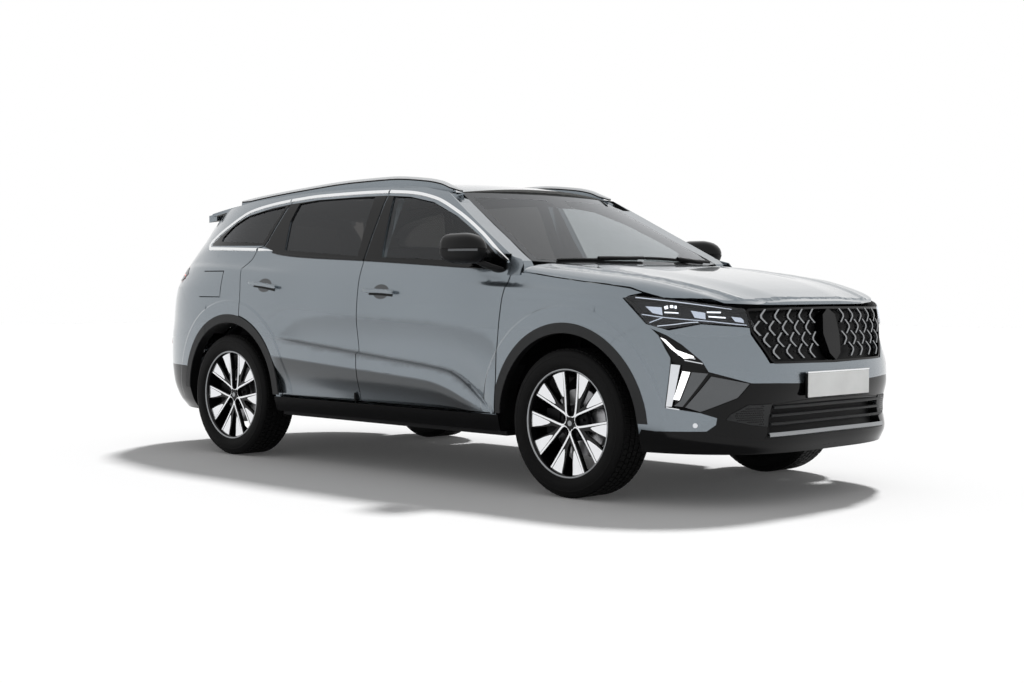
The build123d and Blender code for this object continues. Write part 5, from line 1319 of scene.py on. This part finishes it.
for end, x in wheel["places"].items():
    for side, word in ((1, "left"), (-1, "right")):
        centre = Matrix.Translation((x, side * wheel["middle"], wheel["axle"]))
        put = centre @ Matrix.Diagonal((1, side, 1, 1))
        for part, mesh, material in wheelParts:
            copy = mesh.copy()
            copy.transform(put)
            if side < 0:
                copy.flip_normals()
            gone = {"Barrel": [f"{end}_{word}_rim"], "Tyre": [f"{end}_{word}_tyre"]}.get(part, ())
            addPiece(f"{end}{word.title()}{part}", copy, [material], f"{end}_{word}_wheel", gone)
print("wheels done")


# mirrors, handles and roof rails
def loft(sections):  # closed rings of equal length joined one after the other, with both ends closed
    n, last = len(sections[0]), len(sections) - 1
    faces = [(k * n + j, k * n + (j + 1) % n, (k + 1) * n + (j + 1) % n, (k + 1) * n + j)
             for k in range(last) for j in range(n)]
    ends = [tuple(range(n))[::-1], tuple(last * n + j for j in range(n))]
    return np.concatenate([np.array(s, float) for s in sections]), faces + ends


def mirrorRow(z, back, front, near, far, inset=0.0, steps=40):  # one level of the mirror's shell
    cx, cy, hy = back + (front - back) * mirror["widest"], (near + far) / 2, (far - near) / 2 - inset
    ring = []
    for c, s in circle(steps, 1):
        reach, power = (front - cx, mirror["nose"]) if c > 0 else (cx - back, mirror["back"])
        x = cx + (reach - inset) * abs(c) ** (2 / power) * (1 if c > 0 else -1)
        ring.append((x, cy + hy * abs(s) ** (2 / mirror["side"]) * (1 if s > 0 else -1), z))
    return ring


mirror = {  # each row: height, rear and front edge, near and far edge
    "widest": 0.35, "nose": 2.3, "back": 5.0, "side": 2.6,  # where it is widest, and how square each end is
    "groove": (0.655, 0.920, 0.885, 1.0412), "grooveUp": (1.203, 1.209), "grooveDeep": 0.004,
    "lamp": [(1.1925, 0.656, 0.9185, 0.885, 1.0410), (1.2035, 0.655, 0.9205, 0.885, 1.0413)],
    "lampPoints": (2, 11),
    "glassX": 0.6565, "glassCorner": 0.022, "flagLift": 0.0075,
    "upper": [(1.2075, 0.655, 0.920, 0.885, 1.0412), (1.220, 0.656, 0.918, 0.886, 1.0405),
              (1.238, 0.658, 0.910, 0.888, 1.038), (1.256, 0.663, 0.893, 0.893, 1.032),
              (1.270, 0.672, 0.870, 0.902, 1.022), (1.279, 0.687, 0.842, 0.918, 1.006),
              (1.285, 0.707, 0.812, 0.940, 0.985)],
    "lower": [(1.131, 0.725, 0.840, 0.925, 0.975), (1.136, 0.697, 0.872, 0.908, 1.000),
              (1.148, 0.673, 0.895, 0.896, 1.020), (1.165, 0.661, 0.908, 0.889, 1.032),
              (1.180, 0.657, 0.915, 0.886, 1.038), (1.1915, 0.656, 0.918, 0.885, 1.0405),
              (1.2045, 0.655, 0.920, 0.885, 1.0412)],
    "glass": [(0.915, 1.152), (0.994, 1.156), (1.000, 1.250), (0.965, 1.260), (0.914, 1.250)],
    "stem": [((0.938, 0.862, 1.098), 0.050, 0.016), ((0.930, 0.885, 1.106), 0.044, 0.015),
             ((0.900, 0.912, 1.120), 0.038, 0.014), ((0.862, 0.932, 1.138), 0.034, 0.012)],
    "flag": [(0.850, 1.109), (0.990, 1.102), (0.985, 1.134), (0.955, 1.150), (0.900, 1.178)],
}
groove = loft([mirrorRow(z, *mirror["groove"], mirror["grooveDeep"]) for z in mirror["grooveUp"]])
start, end = mirror["lampPoints"]
rows = [[(x + 0.0006, y, z) for x, y, z in mirrorRow(*row)[start:end]] for row in mirror["lamp"]]
lampStrip = loft([row + [(x - 0.004, y - 0.003, z) for x, y, z in row[::-1]] for row in rows])
stem = loft([[(x + dx, y, z + dz) for dx, dz in circle(16, *size)] for (x, y, z), *size in mirror["stem"]])
caps, shells = (loft([mirrorRow(*row) for row in mirror[k]]) for k in ("upper", "lower"))


def onPane(u, v, lift):
    return np.stack([np.full(len(u), mirror["glassX"]) - lift, u, v], 1)


pane = patchData([rounded(mirror["glass"], mirror["glassCorner"])], onPane, 0.001, -0.004, 0.05)
flag = skinPatch(xz(mirror["flag"]), 90, mirror["flagLift"], -0.003, field=plainField)
leftRight("mirrorCap", [caps], "gloss_black", doors("front"),
          (["left_mirror"], ["right_mirror"]))
for name, parts, material in (("Shell", [shells, groove, stem], "black_plastic"),
                              ("Flag", [flag], "gloss_black"), ("LampStrip", [lampStrip], "pane_metal"),
                              ("Glass", [pane], "lamp_silver")):
    leftRight("mirror" + name, parts, material, doors("front"))

handle = {
    "front": (-0.062, 0.189, 0.990, 0.982), "rear": (-1.113, -0.847, 1.030, 1.006),  # ends and heights
    "rise": 0.002, "wide": 0.026, "proud": 0.024, "taper": ((0, 0.06, 0.94, 1), (0.5, 1, 1, 0.5)),
    "shadeDown": 0.0165, "shadeShort": 0.03, "shadeWide": 0.012, "shadeProud": 0.003,
    "edgeUp": 0.009, "edgeWide": 0.005, "edgeProud": 0.0245, "bowl": (0.066, 0.040),
}
for end in ("front", "rear"):
    x0, x1, z0, z1 = handle[end]
    x, z, short = (x0 + x1) / 2, (z0 + z1) / 2, handle["shadeShort"]
    line = [(x0, z0), (x, z + handle["rise"]), (x1, z1)]
    under = [(x + dx, z - handle["shadeDown"]) for (x, z), dx in zip(line, (short, 0, -short))]
    over = [(x, z + handle["edgeUp"]) for x, z in line]
    bowl = [(x + dx, z + dz) for dx, dz in circle(20, *handle["bowl"])]
    # a black strip under each grip: a painted shadow of the grip
    shade = ribbon(xz(under), handle["shadeWide"], handle["shadeProud"], 90, field=skinField)
    grip = ribbon(xz(line), handle["wide"], handle["proud"], 90, 0.01, handle["taper"], skinField)
    edge = ribbon(xz(over), handle["edgeWide"], handle["edgeProud"], 90, field=skinField)
    # the recess behind each grip is a flat near-black patch on the skin: painted shade
    hollow = skinPatch(xz(bowl), 90, 0.0006, -0.002, spacing=0.02)
    for name, part, material in (("HandleShade", shade, "black_plastic"), ("DoorHandle", grip, "body_paint"),
                                 ("HandleEdge", edge, "chrome"), ("HandleBowl", hollow, "bowl_shade")):
        leftRight(end + name, [part], material, doors(end))

rail = {
    "line": [(-1.580, 1.541), (-1.400, 1.561), (-1.000, 1.594), (-0.470, 1.624), (-0.170, 1.628),
             (0.115, 1.608), (0.243, 1.586), (0.310, 1.562), (0.388, 1.534)],
    "near": 0.5905, "far": 0.6155, "tall": 0.013, "endTall": 0.35, "endSlope": 14,
    "bevelUp": 0.004, "bevelIn": 0.005,
    "foot": 0.008, "footIn": 0.003, "skirt": 0.045, "skirtTo": 0.34,
}
path, share = smoothPath(rail["line"], 0.03)
silver, dark, skirt = [], [], []
for (x, z), t in zip(path, share):
    drop = rail["tall"] * min(1, rail["endTall"] + rail["endSlope"] * min(t, 1 - t))
    a, b, up, step = rail["near"], rail["far"], z - rail["bevelUp"], rail["bevelIn"]
    silver.append([(x, a, z - drop), (x, a, up), (x, a + step, z), (x, b - step, z), (x, b, up),
                   (x, b, z - drop)])
    near, far, foot = a + rail["footIn"], b - rail["footIn"], z - drop - rail["foot"]
    dark.append([(x, near, foot), (x, near, z - drop), (x, far, z - drop), (x, far, foot)])
    if x < rail["skirtTo"]:
        low = foot - rail["skirt"]
        skirt.append([(x, a, low), (x, a + 0.001, foot), (x, b - 0.001, foot), (x, b, low)])
leftRight("roofRail", [loft(silver)], "satin_rail", "body", (["roof_rails"], ()))
leftRight("roofRailBase", [loft(dark)], "black_plastic")
leftRight("roofRailSkirt", [loft(skirt)], "body_paint")
print("mirrors, handles and rails done")

# bonnet: its crown worked out again, with a ridge on each side that runs from the screen pillar to the grille
bonnet = {
    "middle": [(1.130, 1.140), (1.320, 1.126), (1.520, 1.104), (1.720, 1.078), (1.900, 1.048), (2.050, 1.012),
               (2.190, 0.966), (2.262, 0.942)],
    "side": [(1.130, 1.090), (1.320, 1.066), (1.520, 1.044), (1.660, 1.031), (1.787, 1.014), (1.870, 0.990),
             (1.951, 0.968), (2.100, 0.948), (2.222, 0.935)],
    "drop": [(0, 0), (0.35, 0.01), (0.60, 0.06), (0.80, 0.16), (0.92, 0.40), (0.98, 0.75), (1, 1)],
    "ridge": [(1.05, 0.700), (1.30, 0.690), (1.60, 0.660), (1.90, 0.605), (2.15, 0.535), (2.30, 0.490)],
    "hollow": 0.008, "hollowIn": (0.0, 0.05, 0.10, 0.32), "fall": 0.011, "fallOut": (0.0, 0.035, 0.055, 0.14),
    "along": (1.10, 1.30), "net": 0.022,
    "foot": [(1.003, 1.074), (1.091, 1.074), (1.091, 1.128), (1.075, 1.152), (1.003, 1.168)],
}
middleAt, sideAt, dropAt, ridgeAt = (smoothTable(bonnet[k]) for k in ("middle", "side", "drop", "ridge"))


def bonnetPlain(p):
    x, y, z = p[:, 0], np.abs(p[:, 1]), p[:, 2]
    side = sideAt(x)
    ahead = np.clip((x - skin["noseFrom"]) / (noseAt(side) - skin["noseFrom"]), 0, 0.999)
    reach = halfAt(side) * (1 - ahead ** skin["nosePower"]) ** (1 / skin["nosePower"])
    return z - middleAt(x) + (middleAt(x) - side) * dropAt(y / reach)


def bonnetField(p):
    d = np.abs(p[:, 1]) - ridgeAt(p[:, 0])
    shape = bonnet["hollow"] * band(-d, *bonnet["hollowIn"]) + bonnet["fall"] * band(d, *bonnet["fallOut"])
    return bonnetPlain(p) + shape * ease(p[:, 0], *bonnet["along"])


mesh = pressed("hood", bonnetField, bonnetPlain, (0, 0, 1), (0, 1), [], (), bonnet["net"])
addPiece("hoodPanel", mesh, ["body_paint", "dark_steel"], "hood_body", ["hood"])
foot = skinPatch(xz(bonnet["foot"]), 90, 0.001, -0.004, spacing=0.02, field=plainField)
leftRight("pillarFoot", [foot], "body_paint")
print("bonnet pressed")

roof = {"cornerFrom": 0.59, "cornerFront": 0.372}  # its front corners end where the screen pillars begin
bm = mergedCopy("roof")
for face in bm.faces:
    face.material_index = 1 if face.normal.z < -0.4 else 0
mesh = asMesh(bm, "roofDressed")
shadeSmooth(mesh, 32)
for vertex in mesh.vertices:
    if abs(vertex.co.y) > roof["cornerFrom"]:
        vertex.co.x = min(vertex.co.x, roof["cornerFront"])
addPiece("roofDressed", mesh, ["body_paint", "headlining"], bodyOf["roof"], ["roof"])


# what lies on a CAD surface seen from above or behind
def surfaceOf(name, direction):
    mesh = nodes[name].data
    corners = [v.co.copy() for v in mesh.vertices]
    tree = BVHTree.FromPolygons(corners, [tuple(p.vertices) for p in mesh.polygons])
    way = Vector(direction)
    return lambda start: tree.ray_cast(Vector(start) - way * 3, way)


def draped(line, width, height, cast, lift=0.0):  # a bar laid along a line on a cast surface
    line = np.array(line, float)
    along, t = evenSteps(line, 0.02)
    path = np.stack([np.interp(t, along, column) for column in line.T], 1)
    hits = [(p, n) for p, n in (cast(point)[:2] for point in path) if p is not None]
    run = np.gradient(np.array([tuple(p) for p, _ in hits]), axis=0)
    rings = []
    for (p, n), r in zip(hits, run):
        n = n if n.dot(Vector((0.3, 0, 1))) > 0 or abs(n.x) > 0.8 else -n
        side = n.cross(Vector(r)).normalized()
        rings.append([tuple(p + side * (width * a) + n * (lift + height * b))
                      for a, b in ((-0.5, 0), (-0.5, 0.5), (-0.3, 1), (0.3, 1), (0.5, 0.5), (0.5, 0))])
    return loft(rings)


screenAt = surfaceOf("windshield", (0, 0, -1))
wipers = {
    "blades": [[(1.085, -0.600, 0), (1.118, -0.350, 0), (1.120, -0.020, 0)],
               [(1.112, 0.060, 0), (1.106, 0.340, 0), (1.070, 0.610, 0)]],
    "arms": [[(1.128, 0.020, 0), (1.130, -0.130, 0), (1.118, -0.330, 0)],
             [(1.085, 0.640, 0), (1.110, 0.480, 0), (1.108, 0.330, 0)]],
    "bladeWide": 0.014, "armWide": 0.018, "tall": 0.012, "armLift": 0.010,
}
blades = [draped(line, wipers["bladeWide"], wipers["tall"], screenAt) for line in wipers["blades"]]
arms = [draped(line, wipers["armWide"], wipers["tall"], screenAt, wipers["armLift"])
        for line in wipers["arms"]]
onePiece("frontWipers", blades + arms, "black_plastic")
print("wipers done")

# the rear end
rear = {
    "azimuth": 180, "sideAzimuth": 150,
    "light": [(0.0, -0.715, 1.066), (0.0, -0.600, 1.066), (0.0, -0.360, 1.062)],
    "sideLight": [(-1.905, 0.790, 1.076), (-1.960, 0.762, 1.084), (-2.080, 0.712, 1.076),
                  (-2.140, 0.690, 1.066)],
    "sideLamp": [(-1.878, 0.808, 1.087), (-1.951, 0.775, 1.128), (-2.110, 0.705, 1.105),
                 (-2.130, 0.700, 1.048), (-1.952, 0.795, 1.040)],
    "sideFrame": [(-1.900, 0.799, 1.060), (-1.955, 0.775, 1.052), (-2.120, 0.705, 1.046)],
    "plate": (0.0, 0.880), "plateWide": 0.520, "plateTall": 0.112, "plateSpan": (0.008, 0.003),
    "handle": [(0, -0.20, 0.962), (0, 0.20, 0.962)], "finFoot": 0.370, "finTop": 0.480,
    "blade": [(0, 0.02, 1.165), (0, 0.330, 1.178)], "arm": [(0, 0.0, 1.160), (0, 0.180, 1.186)],
    "recess": [(0.0, -0.300, 0.808), (0.0, 0.300, 0.808), (0.0, 0.330, 0.950), (0.0, 0.290, 0.975),
               (0.0, -0.290, 0.975), (0.0, -0.330, 0.950)],
    "reflector": [(0.0, 0.560, 0.652), (0.0, 0.760, 0.660)],
    "lowerLine": [(0.0, -0.620, 0.520), (0.0, 0.0, 0.512), (0.0, 0.620, 0.520)],
    "fins": [-0.330, -0.165, 0.0, 0.165, 0.330],
}


def behind(line, width, lift, sink, spacing=0.02):  # a strip on the tail, seen from behind
    return strip(line, width, rear["azimuth"], lift, sink, spacing, field=plainField)


a, aside = rear["azimuth"], rear["sideAzimuth"]
recess = skinPatch(rear["recess"], a, 0.0012, -0.006, corner=0.03, field=plainField)
onePiece("plateRecess", [recess], "black_plastic", "tailgate_body")
y, z = rear["plate"]
x = float(skinPoint([y], [z], a, 0.0, plainField)[0, 0])
w, h = rear["plateWide"] / 2, rear["plateTall"] / 2
start, end = rear["plateSpan"]
onePiece("rearPlate", [slab(x - start, x - end, -w, w, z - h, z + h, 0.004)], "plate_white", "tailgate_body")
onePiece("gateHandle", [behind(rear["handle"], 0.018, 0.009, 0.0)], "gloss_black", "tailgate_body")
lines = [behind([(0, side * y, z) for _, y, z in rear["light"]], 0.008, 0.0042, -0.002) for side in (1, -1)]
onePiece("gateLightLine", lines, "tail_glow", "tailgate_body")
sideLamp = skinPatch(rear["sideLamp"], aside, 0.0022, -0.004, spacing=0.02, field=plainField)
leftRight("tailLampSide", [sideLamp], "gloss_black")
leftRight("tailLightLine", [ribbon(rear["sideLight"], 0.008, 0.004, aside)], "tail_glow")
leftRight("tailLampFrame", [ribbon(rear["sideFrame"], 0.006, 0.004, aside)], "gloss_black")
leftRight("rearReflector", [behind(rear["reflector"], 0.030, 0.002, -0.003)], "lamp_red")
onePiece("rearLowerTrim", [behind(rear["lowerLine"], 0.016, 0.006, -0.004, 0.05)], "chrome")
fins = [behind([(0, y, rear["finFoot"]), (0, y, rear["finTop"])], 0.014, 0.014, -0.004) for y in rear["fins"]]
onePiece("rearFins", fins, "black_plastic")
gateGlassAt = surfaceOf("tailgate_glass", (1, 0, 0))
wiper = [draped(rear["blade"], 0.012, 0.010, gateGlassAt),
         draped(rear["arm"], 0.016, 0.012, gateGlassAt, 0.008)]
onePiece("rearWiper", wiper, "black_plastic", "tailgate_body")
print("rear end done")


# seats: the plain solids made into crowned cushions with sewn channels
seats = {
    "voxel": 0.016, "coarser": 1.6, "relax": 14, "ease": 0.6, "crown": 0.008,
    "seamWide": 0.007, "seamDeep": 0.009, "channelWide": 0.22, "facing": (0.35, 0.75),
    "front_seats": {"centres": (-0.370, 0.370), "bolster": 0.165, "channel": 0.105, "sit": 0.52,
                    "head": 1.075},
    "rear_seats": {"centres": (-0.430, 0.0, 0.430), "bolster": 0.130, "channel": 0.115, "sit": 0.53,
                   "head": 1.075},
    "third_row_seats": {"centres": (-0.330, 0.330), "bolster": 0.120, "channel": 0.110, "sit": 0.65,
                        "head": 1.045},
}


def cushioned(node, plan):
    rough = bpy.data.objects.new(node + "Rough", asMesh(mergedCopy(node), node + "Rough"))
    scene.collection.objects.link(rough)
    remesh = rough.modifiers.new("even", "REMESH")
    remesh.mode, remesh.voxel_size = "VOXEL", seats["voxel"] * 1
    relax = rough.modifiers.new("relax", "SMOOTH")
    relax.factor, relax.iterations = seats["ease"], seats["relax"]
    soft = bpy.data.meshes.new_from_object(rough.evaluated_get(bpy.context.evaluated_depsgraph_get()))
    bpy.data.objects.remove(rough)
    co, normal = vectorsOf(soft.vertices, "co"), vectorsOf(soft.vertex_normals, "vector")
    offset = np.min([np.abs(co[:, 1] - c) for c in plan["centres"]], axis=0)
    up = ease(normal[:, 2], *seats["facing"]) * ease(co[:, 2], plan["sit"] - 0.04, plan["sit"])
    front = ease(normal[:, 0], *seats["facing"]) * (1 - ease(co[:, 2], plan["head"] - 0.03, plan["head"]))
    shown = np.maximum(up, front)
    seam = np.exp(-((offset - plan["bolster"]) / seats["seamWide"]) ** 2)
    wave = np.abs(np.sin(pi * np.where(up > front, co[:, 0], co[:, 2]) / plan["channel"]))
    inner = 1 - ease(offset, plan["bolster"] - 0.01, plan["bolster"] + 0.005)
    channel = np.exp(-(wave / seats["channelWide"]) ** 2) * inner
    crown = seats["crown"] * (wave * inner * shown - 0.5)
    co += normal * (crown - seats["seamDeep"] * np.maximum(seam, channel) * shown)[:, None]
    soft.vertices.foreach_set("co", co.ravel().astype(np.float32))
    shadeSmooth(soft)
    soft.materials.clear()
    return addPiece(node + "Cushions", soft, ["seat_cloth"], bodyOf[node], [node])


for node in ("front_seats", "rear_seats", "third_row_seats"):
    made = cushioned(node, seats[node])
    print("seats", node, len(made.data.polygons))

cabin = {
    "screen": ((0.640, -0.055, 1.000), 0.190, 0.235, 22), "dials": ((0.668, 0.370, 1.062), 0.300, 0.120, 18),
    "thick": 0.012, "corner": 0.012, "hub": (0.520, 0.370, 0.930), "tilt": 24,
    "pad": 0.062, "padWide": 1.25, "padSquare": 0.6,
    "padRows": [(0.012, 1.0), (0.022, 0.97), (0.028, 0.85), (0.030, 0.5)],  # height and size of each ring
}


def panel(centre, wide, tall, lean):  # a thin screen facing the seats
    points, faces = slab(-cabin["thick"], 0, -wide / 2, wide / 2, -tall / 2, tall / 2, cabin["corner"])
    x, y, z = np.array(points).T
    c, s = cos(radians(lean)), sin(radians(lean))
    return np.stack([x * c + z * s, y, z * c - x * s], 1) + centre, faces


def squared(v):  # a circle's place pushed out towards a square
    return np.sign(v) * abs(v) ** cabin["padSquare"]


onePiece("cabinScreens", [panel(*cabin["screen"]), panel(*cabin["dials"])], "gloss_black")
t = radians(cabin["tilt"])
across, upward, away = np.array([(0.0, 1.0, 0.0), (sin(t), 0.0, cos(t)), (-cos(t), 0.0, sin(t))])
ring = [(squared(c), squared(s)) for c, s in circle(28, 1)]
rows = []
for depth, size in cabin["padRows"]:
    wide, tall = cabin["pad"] * cabin["padWide"] * size, cabin["pad"] * size
    middle = cabin["hub"] + away * depth
    rows.append([middle + across * wide * u + upward * tall * v for u, v in ring])
onePiece("steeringPad", [loft(rows)], "black_plastic", "steering_wheel_body")
print("cabin done")


# finishes on the CAD nodes that show as they are
for name, piece in nodes.items():
    slotName = piece.data.materials[0].name.split(".")[0] if piece.data.materials else ""
    material = finish[{"windshield": "screen_glass", "sills": "sill_black"}.get(name, slotName)]
    for k in range(len(piece.data.materials)):
        piece.data.materials[k] = material

# camera, floor and lights
view = {"place": (6.5536, -6.4885, 1.0243), "yaw": 2.3547, "pitch": -0.0405, "roll": -0.0026,
        "lens": 55.785, "sensor": 36, "shift": (0.0111, 0.00745), "farthest": 200}
yaw, pitch = view["yaw"], view["pitch"]
ahead = Vector((cos(pitch) * cos(yaw), cos(pitch) * sin(yaw), sin(pitch)))
right = Vector((sin(yaw), -cos(yaw), 0))
turn = Matrix.Rotation(view["roll"], 3, ahead)
right, up = turn @ right, turn @ right.cross(ahead)
camera = bpy.data.objects.new("camera", bpy.data.cameras.new("camera"))
camera.matrix_world = Matrix((right, up, -ahead)).transposed().to_4x4()
camera.location = view["place"]
camera.data.lens, camera.data.sensor_width = view["lens"], view["sensor"]
camera.data.shift_x, camera.data.shift_y = view["shift"]
camera.data.clip_end = view["farthest"]
scene.collection.objects.link(camera)
scene.camera = camera

room = {"floor": 30, "floorColour": (0.94, 0.94, 0.94), "floorGlow": 0.04, "fill": 0.33,
        "sunFrom": (-0.30, 0.67, 1.0), "sunWide": 7, "sunPower": 2.8}
bm = bmesh.new()
bmesh.ops.create_grid(bm, x_segments=2, y_segments=2, size=room["floor"])
mesh = asMesh(bm, "floor")
floor = bpy.data.objects.new("floor", mesh)
scene.collection.objects.link(floor)
s = Shade("studioFloor")
ray = s.node("LightPath")
seen = (ray + s.node("LightPath", out=3) + s.node("LightPath", out=6)).clamped()
lit = s.node("BsdfDiffuse", inputs={"Color": room["floorColour"]})
glow = s.node("Emission", inputs={"Color": (1, 1, 1), "Strength": seen * room["floorGlow"]})
mesh.materials.append(s.finish(s.node("AddShader", inputs={0: lit, 1: glow})))

world = bpy.data.worlds.new("studio")
scene.world = world
world.use_nodes = True
tree = world.node_tree
tree.nodes.clear()
path = tree.nodes.new("ShaderNodeLightPath")
both = tree.nodes.new("ShaderNodeMath")
both.operation = "MAXIMUM"
tree.links.new(path.outputs[0], both.inputs[0])
tree.links.new(path.outputs[3], both.inputs[1])
level = tree.nodes.new("ShaderNodeMapRange")
tree.links.new(both.outputs[0], level.inputs[0])
level.inputs[3].default_value, level.inputs[4].default_value = room["fill"], 1.0
sky = tree.nodes.new("ShaderNodeBackground")
tree.links.new(level.outputs[0], sky.inputs["Strength"])
sky.inputs["Color"].default_value = (1, 1, 1, 1)
out = tree.nodes.new("ShaderNodeOutputWorld")
tree.links.new(sky.outputs[0], out.inputs[0])

sun = bpy.data.lights.new("sun", "SUN")
sun.energy, sun.angle = room["sunPower"], radians(room["sunWide"])
piece = bpy.data.objects.new("sun", sun)
piece.rotation_euler = Vector(room["sunFrom"]).to_track_quat("Z", "Y").to_euler()
piece.visible_glossy = False
scene.collection.objects.link(piece)
scene.view_settings.view_transform = "Standard"
print("camera, floor and lights set")
